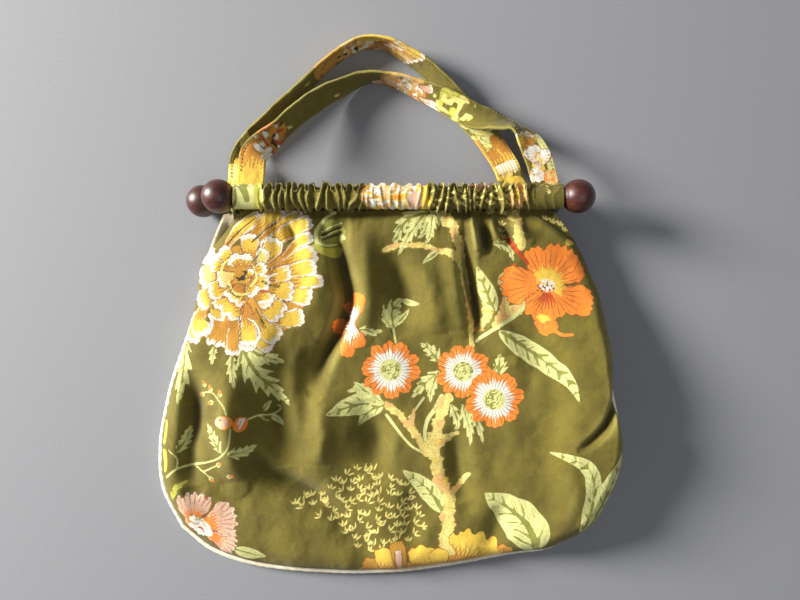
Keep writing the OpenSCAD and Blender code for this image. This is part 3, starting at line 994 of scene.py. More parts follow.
def leaf_veins(s, colour, leaf, along, across, patchy):
    """Veins that run from the midrib towards the tip."""
    wide = s.math("ABSOLUTE", across)
    vein = s.math("ADD", s.math("SUBTRACT", along, s.times(wide, 1.2)), s.times(patchy, 5.0))
    vein = s.step(s.math("SINE", s.times(vein, 0.95)), 0.88, 0.99)
    vein = s.times(s.math("MAXIMUM", vein, s.step(wide, 0.8, 0.3)), leaf)
    return s.mix(s.times(vein, 0.4), colour, srgb(112, 108, 40))


def petal_hatching(s, colour, petal, place, patchy, fuzz):
    """Petals are darker towards their base and have fine curved hatching across them."""
    along, across, share = place
    base = s.times(s.step(share, 0.75, 0.0), petal)
    colour = s.mix(s.times(base, 0.42), colour, srgb(206, 140, 50), "MULTIPLY")
    hatch = s.math("SUBTRACT", along, s.times(across, across, 0.09))
    hatch = s.math("ADD", s.times(hatch, 2.9), s.times(patchy, 6.0))
    hatch = s.step(s.math("SINE", hatch), 0.45, 0.97)
    hatch = s.times(hatch, petal, s.step(fuzz, 0.36, 0.55), s.step(share, 0.98, 0.45, 0.0, 0.75))
    return s.mix(hatch, colour, srgb(168, 106, 34))


def flower_rays(s, colour, ray, radius, angle, patchy):
    """Fine rays of the round flowers."""
    rays = s.math("SINE", s.math("ADD", s.times(angle, 30.0), s.times(patchy, 3.0)))
    rays = s.times(s.step(rays, 0.5, 0.98), ray, s.step(radius, 34.0, 22.0), 0.6)
    return s.mix(rays, colour, srgb(120, 72, 52))


def bark_flecks(s, colour, cloth, share):
    """Bark is flecked with ochre and olive."""
    bark = s.step(share, 2.0, 2.8)
    fleck = s.noise(cloth, 0.55, 2.0)
    colour = s.mix(s.times(bark, s.step(fleck, 0.5, 0.62, 0.0, 0.6)), colour, srgb(206, 150, 66))
    return s.mix(s.times(bark, s.step(fleck, 0.41, 0.33, 0.0, 0.6)), colour, srgb(128, 116, 44))


def printed_cotton(name, ground):
    """Faded printed cotton: the ground, then each ink, then rubbed ridges with painted highlight and hollows
    with painted shade.
    """
    s = Shader(name)
    cloth = s.attribute("cloth")
    fuzz = s.noise(cloth, 1.1, 3.0)
    blot = s.noise(cloth, 0.035, 3.0, 0.6)
    patchy = s.noise(cloth, 0.25, 4.0, 0.65)
    leaf, petal, ray = s.parts(s.attribute("pattern"))
    place = s.parts(s.attribute("place"))
    along, across, share = place
    colour = s.mix(s.step(blot, 0.3, 0.7), [0.80 * v for v in ground], [1.12 * v for v in ground])
    colour = ink_colours(s, colour, fuzz)
    colour = leaf_veins(s, colour, leaf, along, across, patchy)
    colour = petal_hatching(s, colour, petal, place, patchy, fuzz)
    colour = flower_rays(s, colour, ray, along, across, patchy)
    colour = bark_flecks(s, colour, cloth, share)
    wear_and_shading = s.attribute("wear_and_shading", "Fac")
    # Ridges lightened: partly rubbed wear, partly painted highlight
    colour = s.mix(s.step(wear_and_shading, 0.2, 2.6, 0.0, 0.36), colour, srgb(196, 184, 96))
    # Hollows darkened towards a dark olive: painted shade
    colour = s.mix(s.step(wear_and_shading, -0.2, -3.0, 0.0, 0.62), colour, [0.2 * v for v in ground])
    speck = s.step(s.noise(cloth, 0.8, 2.0), 0.3, 0.72, 0.90, 1.10)
    s.put(s.out["Base Color"], s.shaded(colour, speck))
    s.put(s.out["Sheen Weight"], 0.12)
    s.put(s.out["Sheen Roughness"], 0.5)
    s.put(s.out["Roughness"], s.step(patchy, 0.3, 0.7, 0.80, 0.94))
    crumple = s.bump(s.noise(cloth, 0.16, 4.0, 0.6), 0.0011, 0.7)
    threads = s.bump(s.weave(cloth, 0.9), 0.00012, 0.6, crumple)
    s.put(s.out["Normal"], s.bump(fuzz, 0.00025, 0.7, threads))
    return s.material


def plain_cotton(name, colour, dirt, cord=False):
    """Undyed cotton for the lining, the piping and the threads."""
    s = Shader(name, 0.92)
    cloth = s.millimetres()
    blot = s.noise(cloth, 0.06, 4.0, 0.6)
    shade = s.mix(s.step(blot, 0.35, 0.75), colour, dirt)
    fleck = s.step(s.noise(cloth, 0.9, 2.0), 0.3, 0.7, 0.9, 1.06)
    s.put(s.out["Base Color"], s.shaded(shade, fleck))
    s.put(s.out["Sheen Weight"], 0.1)
    rough = s.noise(cloth, 0.5 if cord else 0.2, 4.0, 0.6)
    s.put(s.out["Normal"], s.bump(rough, 0.0008 if cord else 0.001, 0.7))
    return s.material


def turned_wood(name):
    """Dark red-brown turned wood with a worn varnish."""
    s = Shader(name, 0.4)
    spot = s.millimetres()
    grain = s.noise(s.scaled(spot, 0.045, 0.55, 0.55), 1.0, 5.0, 0.6)
    pores = s.noise(s.scaled(spot, 0.35, 3.2, 3.2), 1.0, 2.0)
    colour = s.mix(s.step(grain, 0.35, 0.68), srgb(50, 20, 15), srgb(92, 40, 30))
    colour = s.mix(s.step(pores, 0.6, 0.72, 0.0, 0.6), colour, srgb(24, 9, 8))
    rub = s.noise(spot, 0.14, 3.0)
    colour = s.mix(s.step(rub, 0.56, 0.78, 0.0, 0.35), colour, srgb(134, 72, 44))
    s.put(s.out["Base Color"], colour)
    s.put(s.out["Roughness"], s.step(rub, 0.3, 0.75, 0.34, 0.55))
    s.put(s.out["Specular IOR Level"], 0.2)
    s.put(s.out["Coat Weight"], 1.0)
    s.put(s.out["Coat Roughness"], 0.4)
    rings = s.math("SINE", s.times(s.parts(spot)[0], 5.2))
    marks = s.bump(rings, 0.00006, 0.5)
    s.put(s.out["Normal"], s.bump(pores, 0.00012, 0.6, marks))
    return s.material


GROUND = srgb(114, 102, 29)
PRINTED = printed_cotton("printed_cotton", GROUND)
LINING = plain_cotton("lining_cotton", srgb(226, 212, 178), srgb(198, 180, 138))
PIPING = plain_cotton("piping_cotton", srgb(250, 242, 220), srgb(228, 212, 174), cord=True)
THREAD = plain_cotton("sewing_thread", srgb(150, 142, 80), srgb(120, 112, 60), cord=True)
WOOD = turned_wood("dark_wood")


# ---------------------------------------------------------------- the front and rear panels
def inset(path, distance):
    """The path moved to its left, in the flat."""
    ahead = unit(np.gradient(path[:, :2], axis=0))
    moved = path.copy()
    moved[:, 0] -= ahead[:, 1] * distance
    moved[:, 1] += ahead[:, 0] * distance
    return moved


def patch(left, right, bottom, top, rows, cols):
    """Grid of points between four edges (a Coons patch), from the bottom left corner."""
    left, right = spaced(left, rows)[:, None], spaced(right, rows)[:, None]
    bottom, top = spaced(bottom, cols)[None], spaced(top, cols)[None]
    u = np.linspace(0, 1, cols)[None, :, None]
    v = np.linspace(0, 1, rows)[:, None, None]
    corners = (1 - u) * (1 - v) * bottom[:, :1] + u * (1 - v) * bottom[:, -1:]
    corners = corners + (1 - u) * v * top[:, :1] + u * v * top[:, -1:]
    return (1 - v) * bottom + v * top + (1 - u) * left + u * right - corners


def belly_height(x, y):
    """Height of the filled front between the places that BELLY lists."""
    total, weight = np.zeros(x.shape), np.zeros(x.shape)
    for bx, by, height in BELLY:
        w = np.exp(-((x - bx) ** 2 + (y - by) ** 2) / (2 * 32.0**2)) + 1e-9
        total += w * height
        weight += w
    return total / weight


def gather_strength(x, stretches):
    """How strongly the cloth is gathered at each x."""
    total = np.zeros(np.shape(x))
    for low, high, strength in stretches:
        total += strength * smoothstep(x, low - 3, low + 3) * (1 - smoothstep(x, high - 3, high + 3))
    return total


def gather_phase(x, seed):
    """Phase of the gathers along a casing: 4 to 11 mm from ridge to ridge."""
    at = np.arange(-200, 201, 1.0)
    spacing = 7.2 + 1.4 * noise(at, 0 * at, 17, seed) + 2.4 * noise(at, 0 * at, 7, seed + 1)
    return np.interp(x, at, np.cumsum(2 * math.pi / spacing))


def fold_heights(x, y):
    """Heights of the folds, and of the crease with the lip beside it."""
    height = np.zeros(x.shape)
    for path, rise, width in FOLDS:
        line = smooth_path(path, 4.0)
        t, n = beside_path(x, y, line)
        ends = np.sin(math.pi * np.clip(t, 0.02, 0.98)) ** 0.5
        near = np.hypot(x - line[-1, 0], y - line[-1, 1])
        ends = np.where(t > 0.98, 0.25, ends) * np.where((t > 0.999) & (near > width), 0.5, 1)
        height += 1.45 * rise * ends * np.exp(-((n / width) ** 2))
    t, n = beside_path(x, y, smooth_path(CREASE, 4.0))
    drop = smoothstep(n, 0.0, 3.5) * np.exp(-(np.maximum(n - 14, 0) / 20) ** 2)
    drop = drop * smoothstep(t, -0.01, 0.06)
    lip = np.exp(-(((n + 3.5) / 4.0) ** 2)) * np.sin(math.pi * np.clip(t, 0.01, 0.99)) ** 0.5
    return height - CREASE_DROP * drop + 2.6 * lip


def wrinkles(x, y, seed):
    """Soft crumples, longer along the bag than across it."""
    long = noise(x + 0.25 * y, 0.35 * y, 24, seed) * 2.5
    mid = noise(x - 0.3 * y, 0.5 * y, 10, seed + 1) * 0.55
    fine = noise(x + 0.5 * y, y, 4.6, seed + 2) * 0.14
    return long + mid + fine


def outline(sides):
    return [smooth_path(p, 2.0) for p in sides]


def seam_line(left, bottom, right):
    """The seam from the top of the left side round to the top of the right side."""
    return np.vstack([left[::-1], bottom[1:-1], right])


def share_of(path):
    """The share of its length at which each point of a path lies, seen from above."""
    gaps = np.linalg.norm(np.diff(path[:, :2], axis=0), axis=1)
    at = np.concatenate([[0], np.cumsum(gaps)])
    return at / at[-1]


def beside_seam(seam, values, share):
    """The values that belong to the seam's points, at those shares along it."""
    at = share_of(seam)
    return np.stack([np.interp(share, at, column) for column in values.T], -1)


def front_roll(x, y, distance):
    """How the cloth rolls over at its edge: the new distance from the seam, the share of its
    full height, and how far it swells outwards."""
    right_side = smoothstep(x, 110, 200) * smoothstep(y, -235, -190) * (1 - smoothstep(y, 0, 40))
    roll = 24 + 4 * noise(x, y, 45, 3) - 9 * right_side
    pull = np.where(distance < CROWD, CROWD * (distance / CROWD) ** 1.6, distance)
    share = np.clip(pull / roll, 0, 1)
    rise = np.sqrt(np.clip(1 - (1 - share) ** 2, 0, 1))
    pinch = 2.9 * np.exp(-(((y + 98) / 28) ** 2))
    left_top = (1 - smoothstep(x, -190, -120)) * smoothstep(y, -60, 0)
    swell = 1.2 + 2.5 * right_side * (1 - pinch) + 3.0 * left_top
    swell = swell * (1 - smoothstep(y, 30, 80)) * 4 * rise * (1 - rise)
    return pull, rise, swell


def front_relief(x, y, px, py, share, distance):
    """Folds, crumples, puckers and gathers; x and y are the flat grid, px and py the shaped one."""
    relief = fold_heights(px, py) + wrinkles(px, py, 40)
    # Small puckers where the seam pulls the cloth in
    pucker = np.maximum(0, np.sin(share * 230 + 2 * noise(x, y, 30, 6)))
    pucker = pucker * np.exp(-(((distance - 7) / 7) ** 2))
    relief = relief - 1.1 * pucker * (0.6 + 0.4 * noise(x, y, 25, 7))
    # Gathers hang from the casing and fade out down the cloth
    depth = TOP_Y - y
    phase = gather_phase(px, FRONT_SEED)
    near_top = np.exp(-depth / 11) * (0.35 + 0.65 * np.abs(np.sin(phase / 2)))
    slow = np.exp(-depth / 30) * np.sin(phase / 2.7 + 1)
    gathers = 2.6 * near_top + 1.3 * slow - 1.6 * np.exp(-depth / 9)
    return relief * smoothstep(depth, -2, 26) + gather_strength(px, FRONT_GATHERS) * gathers


def front_surface(rows, cols):
    """Points of the front cloth, and the flat grid under them."""
    left, right, bottom, top = outline([LEFT_SIDE, RIGHT_SIDE, BOTTOM_EDGE, TOP_EDGE])
    seam = seam_line(left, bottom, right)[::2]
    grid = patch(left, right, bottom, top, rows, cols)
    x, y = grid[..., 0], grid[..., 1]
    share, side = beside_path(x, y, seam)
    distance = np.abs(side)
    hem_at = beside_seam(seam, inset(seam, HEM_INSET), share)
    seam_at = beside_seam(seam, seam, share)[..., :2]
    out = unit(seam_at - beside_seam(seam, inset(seam, 1.0), share)[..., :2])
    pull, rise, swell = front_roll(x, y, distance)
    edge = 1 - smoothstep(distance, 0, CROWD)
    place = grid[..., :2] + out * (distance - pull)[..., None] + out * swell[..., None]
    place = place + (hem_at[..., :2] - seam_at) * edge[..., None]
    px, py = place[..., 0], place[..., 1]
    hem_z = hem_at[..., 2]
    z = hem_z + (belly_height(px, py) - hem_z) * rise
    # The cloth tucks in under the casing
    tuck = 6.0 * np.exp(-(((y - (TOP_Y - 1)) / 6.5) ** 2)) * smoothstep(distance, 3, 14)
    z = z + front_relief(x, y, px, py, share, distance) * rise - tuck
    return np.stack([px, py, np.maximum(z, SEAM_Z - 1.5)], -1), grid


def rear_surface(rows, cols, lift=0.0):
    """Points of the rear cloth, which lies on the table and rises to the rear casing."""
    lower_left, lower_right, bottom = (
        [(x, y, REAR_EDGE_Z) for x, y, _ in side] for side in (LEFT_SIDE[:8], RIGHT_SIDE[:5], BOTTOM_EDGE)
    )
    left, right, bottom, top = outline(
        [lower_left + REAR_LEFT_TOP, lower_right + REAR_RIGHT_TOP, bottom, REAR_TOP_EDGE]
    )
    grid = patch(left, right, bottom, top, rows, cols)
    x, y = grid[..., 0], grid[..., 1]
    seam = seam_line(left, bottom, right)[::2]
    share, side = beside_path(x, y, seam)
    distance = np.abs(side)
    inwards = (beside_seam(seam, inset(seam, 1.0), share) - beside_seam(seam, seam, share))[..., :2]
    shrink = 3.4 * (1 - smoothstep(distance, 0, 30))
    place = grid[..., :2] + inwards * shrink[..., None]
    edge = 1 - smoothstep(distance, 0, 16)
    base = 1.4 + 1.1 * wrinkles(x, y, 60) * smoothstep(distance, 3, 25)
    slope = smoothstep(y, 55, TOP_Y)
    gather = 1.6 * np.sin(gather_phase(place[..., 0], REAR_SEED)) * np.exp(-(TOP_Y - y) / 10)
    gather = gather * gather_strength(place[..., 0], REAR_GATHERS)
    z = base + (grid[..., 2] - base) * np.maximum(edge, slope) + gather
    return np.concatenate([place, (np.maximum(z, 0.15) + lift)[..., None]], -1), grid


def dress(obj, points, x, y, spread):
    """Cloth coordinates, and each point's height above the blurred surface: ridges get wear and painted
    highlight, hollows painted shade.
    """
    paint(obj, "cloth", np.stack([x.ravel(), y.ravel(), 0 * x.ravel()], 1))
    z = points[..., 2]
    # Height above the blurred surface: lightens ridges (wear and painted highlight) and darkens hollows
    # (painted shade)
    paint(obj, "wear_and_shading", (z - blurred(z, spread * 4)).ravel())


def printed(obj, x, y, decorate):
    """Prints a cloth whose outer points have those flat places."""
    art = Print(x, y)
    decorate(art)
    art.onto(obj)


def bend_with_mouth(obj):
    """Bakes the cloth's placement into its points."""
    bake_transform(obj)


def front_panel():
    rows, cols, spread = ((265, 337, 9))
    points, flat = front_surface(rows, cols)
    obj = shell("front_cloth", points, FRONT_CLOTH, PRINTED, under=lowered(points, 4, 0.4))
    printed(obj, points[..., 0], points[..., 1], garden)
    dress(obj, points, flat[..., 0], flat[..., 1], spread)
    bend_with_mouth(obj)
    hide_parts("front_panel_lower", "front_panel_upper")
    return obj, points


def front_lining(cloth):
    """Lining that hangs under the front cloth."""
    points = lowered(cloth, 12, LINING_DROP)[::INNER_STEP, ::INNER_STEP]
    points = points + LINING_SHRINK * (np.array(LINING_MIDDLE) - points) * [1, 1, 0]
    points[..., 2] = np.maximum(points[..., 2], LINING_FLOOR)
    obj = shell("inner_front", points, LINING_CLOTH, LINING)
    bend_with_mouth(obj)
    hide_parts("front_lining_lower", "front_lining_upper")
    return obj


def rear_panel():
    """The rear cloth, printed as a mirror of the front."""
    points, flat = rear_surface(161, 209)
    points, flat = points[:, ::-1], flat[:, ::-1]
    obj = shell("rear_cloth", points, REAR_CLOTH, PRINTED)
    printed(obj, -points[..., 0], points[..., 1], garden)
    dress(obj, points, flat[..., 0], flat[..., 1], 4)
    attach(obj, "back")
    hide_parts("rear_panel")
    return obj


def rear_lining():
    points, _ = rear_surface(85, 109, LINING_LIFT)
    obj = shell("back_lining", points, LINING_CLOTH, LINING)
    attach(obj, "back")
    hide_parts("rear_lining")
    return obj


def side_piping():
    """Corded piping in the seam, from one slit foot round to the other."""
    rings, sides = 700, 14
    left, right, bottom = outline([LEFT_SIDE[:9], RIGHT_SIDE[:6], BOTTOM_EDGE])
    path = spaced(inset(seam_line(left, bottom, right), PIPING_R), rings)
    x, y = path[:, 0], path[:, 1]
    path[:, 2] = SEAM_Z - 0.4 + 0.5 * noise(x, y, 35, 4)
    grid = swept(path, PIPING_R, sides)
    turn = np.arange(sides)[:, None] * 2 * math.pi / sides
    cord = 0.16 * np.sin(3 * turn + np.arange(rings)[None] * CORD_TURN) + 0.14 * noise(x, y, 5, 5)[None]
    grid += cord[..., None] * unit(grid - path[None])
    obj = capped("seam_piping", grid, PIPING)
    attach(obj, "back")
    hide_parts("side_piping")
    return obj


# ---------------------------------------------------------------- casings
def along_rod(rod, cols):
    """Places along a casing, from its left end to its right end, as one row."""
    return np.linspace(rod[0] - CASING_LENGTH / 2, rod[0] + CASING_LENGTH / 2, cols)[None]


def casing_points(rod, stretches, seed, rows, cols):
    """Gathered tube round a rod; rows go round it from its lower edge over the top."""
    x = along_rod(rod, cols)
    a = (np.arange(rows) * 2 * math.pi / rows)[:, None]
    strength = gather_strength(x, stretches)
    phase = gather_phase(x, seed) + 2.0 * np.sin(a + noise(x, 0 * x, 19, seed + 3) * 3)
    phase = phase + 1.9 * noise(x, 9 * a, 11, seed + 4)
    ridge = (1 - np.abs(np.sin(phase / 2))) ** 2.2 - 0.2
    ridge = ridge * (0.9 + 0.6 * noise(x, 9 * a, 8, seed + 6)) * (1 + 0.35 * noise(x, 0 * x, 13, seed + 7))
    second = 0.7 * (1 - np.abs(np.sin(0.9 * phase + 1.3 * np.cos(a)))) ** 2
    flat = 0.35 * noise(x, 9 * a, 9, seed + 5)
    out = strength * (5.6 * ridge + second) + flat
    lean = 1.4 * strength * np.sin(phase + 0.8)
    y = ROD_Y - CASING_BACK - (CASING_DEPTH + out) * np.cos(a)
    z = rod[1] + (CASING_HEIGHT + 0.8 * out) * np.sin(a)
    return np.stack([x + lean * np.sin(a) ** 2, y, np.broadcast_to(z, y.shape)], -1), x, a


def casing(name, rod, stretches, seed, body, decorate):
    """Casing tube with its row of stitches."""
    rows, cols = ((64, 421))
    points, x, a = casing_points(rod, stretches, seed, rows, cols)
    obj = shell(name + "_cloth", points, CASING_CLOTH, PRINTED, closed=True)
    flat_y = np.broadcast_to(ROD_Y - 14 * np.cos(a), points.shape[:2])
    flat_x = np.broadcast_to(x, points.shape[:2])
    printed(obj, flat_x, flat_y, decorate)
    radius = np.hypot((points[..., 1] - ROD_Y + CASING_BACK) / 1.2, points[..., 2] - rod[1])
    # The gathers' ridges get wear and painted highlight, their valleys painted shade, by how far the cloth
    # stands out
    dress(obj, np.stack([flat_x, flat_y, 1.5 * radius], -1), flat_x, flat_y + 6 * a, 5)
    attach(obj, body)
    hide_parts(name)
    line = points[int(STITCH_ROW * rows)]
    lift = np.tile([0, 0.35, 1.0], (len(line), 1))
    row_of_thread = stitches(name + "_stitches", line + 0.25 * unit(lift), lift, THREAD)
    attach(row_of_thread, body)
    return obj


def header(name, rod, stretches, seed, body, decorate):
    """Frill above a casing: the cloth's folded edge, beyond the stitch line."""
    rows, cols = 9, 721
    x = along_rod(rod, cols)
    t = np.linspace(0, 1, rows)[:, None]
    strength = 0.12 + 0.88 * gather_strength(x, stretches)
    phase = 0.7 * gather_phase(x, seed) + 1.2 * noise(x, 0 * x, 9, seed + 9)
    swing = strength * (0.25 + 0.75 * t)
    stand = np.clip(1.3 * strength - 0.3, 0, 1)
    z = rod[1] + 4.5 + (4.5 * stand - 1.5 * (1 - stand)) * t + 0.8 * noise(x, 9 * t, 11, seed + 7)
    wave = np.sin(phase) + 0.3 * noise(x, 0 * t, 8, seed + 8)
    y = HEADER_Y + (5.0 - 4.0 * stand) * t + 4.2 * swing * wave
    points = np.stack([x - 1.1 * swing * np.sin(2 * phase), y, z], -1)
    obj = shell(name, points, FRONT_CLOTH, PRINTED)
    flat_x = np.broadcast_to(x, z.shape)
    printed(obj, flat_x, y, decorate)
    paint(obj, "cloth", np.stack([flat_x.ravel(), y.ravel(), 0 * y.ravel()], 1))
    # The frill's folded edge is lightened, partly as wear, partly as painted highlight; its gathered base
    # gets painted shade
    edge_wear_and_highlight = 3.0 * smoothstep(t, 0.75, 1.0) + 0 * x
    paint(obj, "wear_and_shading", (edge_wear_and_highlight - 1.2 * strength * (1 - t)).ravel())
    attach(obj, body)
    return obj


def front_casing_print(p):
    p.blob((-131, 99), 19, 19, 0, "leaf", 0.04, 90)
    p.stem([(-118, 84), (-117, 99), (-119, 114)], 3.5, "bright")
    p.stem([(-134, 116), (-129, 104), (-127, 95)], 3.4, "shade")
    p.stem([(-140, 88), (-137, 96), (-138, 108)], 1.0, "shade")
    p.blob((7, 99), 32, 19, 0, "ochre", 0.1, 91)
    p.mottle((6, 99), 30, 18, "peach", 7, 0.0, 101)
    p.mottle((8, 99), 30, 18, "yellow", 5, 0.1, 104)
    p.mottle((8, 99), 29, 18, "white", 2.2, 0.0, 102)
    p.blob((10, 98), 8, 5, 0, "yellow", 0.3, 90)
    p.blob((10, 98), 4.5, 3, 0, "orange", 0.3, 90)
    p.blob((26, 95), 7, 9, 0, "pink", 0.15, 92)
    p.blob((35, 98), 4, 13, 0, "yellow", 0.2, 93)
    for k in range(38):
        p.sprig((42 + 2.1 * k, 87 + 24 * ((0.618 * k) % 1)), 5.2, 60 + 40 * math.sin(k))
    p.blob((84, 111), 12, 4, 0, "pink", 0.3, 94)
    p.blob((120, 100), 9, 13, 0, "peach", 0.3, 95)
    p.blob((117, 102), 4, 8, 0, "yellow", 0.3, 96)
    p.sprig((150, 106), 6, 190)


def rear_casing_print(p):
    for k in range(9):
        p.leaf([(-150 + 34 * k, 88), (-144 + 34 * k, 99), (-134 + 34 * k, 108)], 6, 0, 1)


# ---------------------------------------------------------------- straps
FRONT_ROUTE = [
    (-122, 139, 43.5, -6), (-113, 150, 40, -34), (-99, 163, 36, -62), (-88, 176, 31, -60),
    (-74, 189, 26, -58), (-57, 202, 20, -63), (-41, 211, 16, -72), (-27, 218, 14, -80),
    (-13, 221, 13.3, -86), (2, 218, 13.2, -80), (16, 214, 13.5, -72), (30, 208, 15, -62),
    (44, 201, 18, -52), (57, 194, 20, -40), (71, 186, 23, -20), (83, 179, 26, 4),
    (98, 174, 29.5, 26), (111, 169, 33, 50), (119, 166, 36, 60), (126, 160, 38.5, 44),
    (131, 152, 41, 24), (136, 142, 43, 10),
]
REAR_ROUTE = [
    (-139, 142, 15, -20), (-131, 159, 13.2, -56), (-124, 170, 13, -72), (-111, 184, 13, -79),
    (-87, 207, 13, -82), (-72, 221, 13, -84), (-57, 235, 13, -86), (-42, 246, 13, -86),
    (-28, 253, 13, -84), (-14, 255, 13, -84), (-1, 253, 13, -84), (7, 249, 12.9, -79),
    (19, 242, 12.6, -74), (32, 234, 12.3, -69), (43, 225, 11.8, -62), (55, 212, 10.4, -50),
    (68, 197, 8, -34), (80, 185, 5.6, -18), (92, 172, 4.4, -4), (100, 161, 6, 2), (107, 149, 9, 2),
]


# Each end of a strap runs straight over its casing: heights above its first point
END_STEPS = (0, 10, 21, 28)
END_Y = 104
# Points across a strap's face, and the rounding at its edges: inset from the edge and level
FACE = 17
ROUNDING = [(0.2, 0.75), (0.0, 0.0), (0.2, -0.75)]


def strap_end(x, slant, z, steps):
    """Straight end of a strap, which slants sideways over its whole length."""
    return [(x + slant * rise / END_STEPS[-1], END_Y + rise, z, 0) for rise in steps]


def strap_frame(path):
    """For a path of x, y, z and lean: the length so far, and the ways along, across and out of the face."""
    line, lean = path[:, :3], np.radians(path[:, 3])[:, None]
    along = unit(np.gradient(line, axis=0))
    side = unit(np.cross([0, 0, 1.0], along))
    across = np.cos(lean) * side - np.sin(lean) * np.cross(along, side)
    out = np.cross(along, across)
    out = np.where(out[:, 2:] < 0, -out, out)
    length = np.concatenate([[0], np.cumsum(np.linalg.norm(np.diff(line, axis=0), axis=1))])
    return length, along, across, out


def strap_section():
    """Across the top, round the edge and back along the underside: place across and level, as columns."""
    half = STRAP_WIDTH / 2
    face = np.linspace(-half + 0.9, half - 0.9, FACE)
    rim = np.array([half - gap for gap, _ in ROUNDING])
    levels = np.array([level for _, level in ROUNDING])
    across = np.concatenate([face, rim, face[::-1], -rim])
    level = np.concatenate([np.ones(FACE), levels, -np.ones(FACE), -levels])
    return across[:, None], level[:, None]


def strap_stitches(name, line, length, across, out, crumple, bend):
    """Two rows of thread along a strap's face."""
    for side_name, edge in [("outer", 1), ("inner", -1)]:
        offset = edge * (STRAP_WIDTH / 2 - STITCH_INSET)
        seam = line + offset * across + (STRAP_THICK / 2 + 0.25) * out
        seam = seam + crumple[8 + 6 * edge][:, None] * out
        keep = (length > 16) & (length < length[-1] - 16)
        row = stitches(f"{name}_{side_name}_stitches", seam[keep], out[keep], THREAD, pitch=3.4)
        bend(row)


def strap(name, route, left_end, right_end, rod, nodes, decorate, seed):
    """Strap handle; each end holds the x where it leaves its casing's edge, and its slant."""
    z = rod[1]
    route = strap_end(*left_end, z, END_STEPS) + route + strap_end(*right_end, z, END_STEPS[::-1])
    path = smooth_path(route, 1.3)
    line = path[:, :3]
    s, along, across, out = strap_frame(path)
    s = s[None]
    n, level = strap_section()
    rim = np.abs(n) - STRAP_WIDTH / 2
    puff = 1 + 0.25 * noise(s, n, 13, seed) + 0.12 * noise(s, n, 4, seed + 1)
    groove = 0.38 * np.exp(-(((rim + STITCH_INSET) / 0.8) ** 2))
    crumple = 0.55 * noise(s + 0.8 * n, n, 11, seed + 2) + 0.25 * noise(s - n, n, 5, seed + 3)
    height = level * (STRAP_THICK / 2 * puff - groove) + crumple * (1 - 0.3 * np.abs(level))
    sway = 0.5 * noise(s, 0 * n, 21, seed + 4)
    grid = line[None] + (n + sway)[..., None] * across[None] + height[..., None] * out[None]
    grid[..., 2] = np.maximum(grid[..., 2], 0.2)
    flat_x, flat_y = np.broadcast_to(s, height.shape), np.broadcast_to(n, height.shape)
    # Crumples lighten and darken the strap as painted highlight and shade; its edges are lightened, partly
    # as wear, partly as painted highlight
    wear_and_shading = 1.2 * crumple + 2.2 * np.exp(-((rim / 1.2) ** 2))
    if np.dot(np.cross(along[0], across[0]), out[0]) > 0:
        grid, flat_x, flat_y, wear_and_shading = (rows[::-1] for rows in (grid, flat_x, flat_y, wear_and_shading))
    obj = capped(name + "_strap", grid, PRINTED)
    printed(obj, flat_x, flat_y, decorate)
    paint(obj, "cloth", np.stack([flat_x.ravel() + 300, flat_y.ravel(), 0 * flat_x.ravel()], 1))
    paint(obj, "wear_and_shading", wear_and_shading.ravel())

    def bend(part):
        """Bakes the part's placement into its points."""
        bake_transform(part)

    bend(obj)
    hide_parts(*nodes)
    strap_stitches(name, line, s[0], across, out, crumple, bend)
    return obj


def front_strap_print(p):
    for path, half, ink in [
        ([(46, -3), (22, -4), (0, -6)], 13, "yellow"),
        ([(42, 5), (20, 6), (0, 7)], 11, "yellow"),
        ([(44, -12), (50, -2), (58, 11)], 9, "ochre"),
        ([(55, -14), (62, -3), (70, 10)], 10, "ochre"),
    ]:
        p.petal(path, half, ink=ink, rim=None, edge="rust")
    p.mottle((40, -9), 7, 4, "white", 6, -0.3, 110)
    p.mottle((55, 0), 16, 14, "white", 4.0, 0.3, 112)
    p.mottle((58, 0), 16, 14, "rust", 4.0, 0.45, 108)
    p.mottle((60, 0), 16, 14, "line", 4.5, 0.4, 107)
    p.sprig((77, -7), 6, 60, "leaf")
    p.sprig((138, -8), 5, 90)
    p.petal([(196, -8), (188, -8), (176, -9)], 4, ink="pink", rim_width=1.2, edge="rust")
    p.mottle((209, 0), 24, 20, "ochre", 11, -0.95, 111)
    p.mottle((210, 0), 22, 16, "orange", 4, 0.25, 105)
    p.mottle((210, 0), 22, 16, "peach", 4, 0.1, 116)
    p.mottle((210, 0), 20, 12, "white", 2.4, 0.15, 117)
    p.petal([(226, 6), (232, 5), (239, 7)], 5, ink="pink", rim_width=1.6, edge="rust")
    p.petal([(228, -8), (238, -9), (252, -10)], 5, ink="white", rim="pink", rim_width=1.2, edge="rust")
    p.mottle((262, 1), 24, 14, "bright", 7, 0.05, 114)
    p.mottle((262, 0), 22, 12, "cream", 4.5, 0.2, 106)
    p.stem([(346, 11), (360, 10), (377, 9)], 4.5, "leaf")
    for path, half, ink in [
        ([(352, -4), (344, -4), (334, -4)], 12, "yellow"),
        ([(350, -2), (345, 1), (340, 4)], 6, "ochre"),
        ([(368, -2), (360, -3), (350, -4)], 9, "white"),
        ([(370, 1), (365, 6), (358, 9)], 5, "white"),
        ([(370, -3), (376, -5), (386, -6)], 8, "white"),
    ]:
        p.petal(path, half, ink=ink, rim_width=1.4, edge="rust" if ink == "white" else "ochre", lobes=3)
    p.mottle((368, -3), 13, 7, "yellow", 4, 0.25, 119)
    p.mottle((384, 6), 8, 7, "peach", 5, -0.6, 113)
    p.mottle((384, 6), 7, 6, "orange", 3, 0.1, 118)


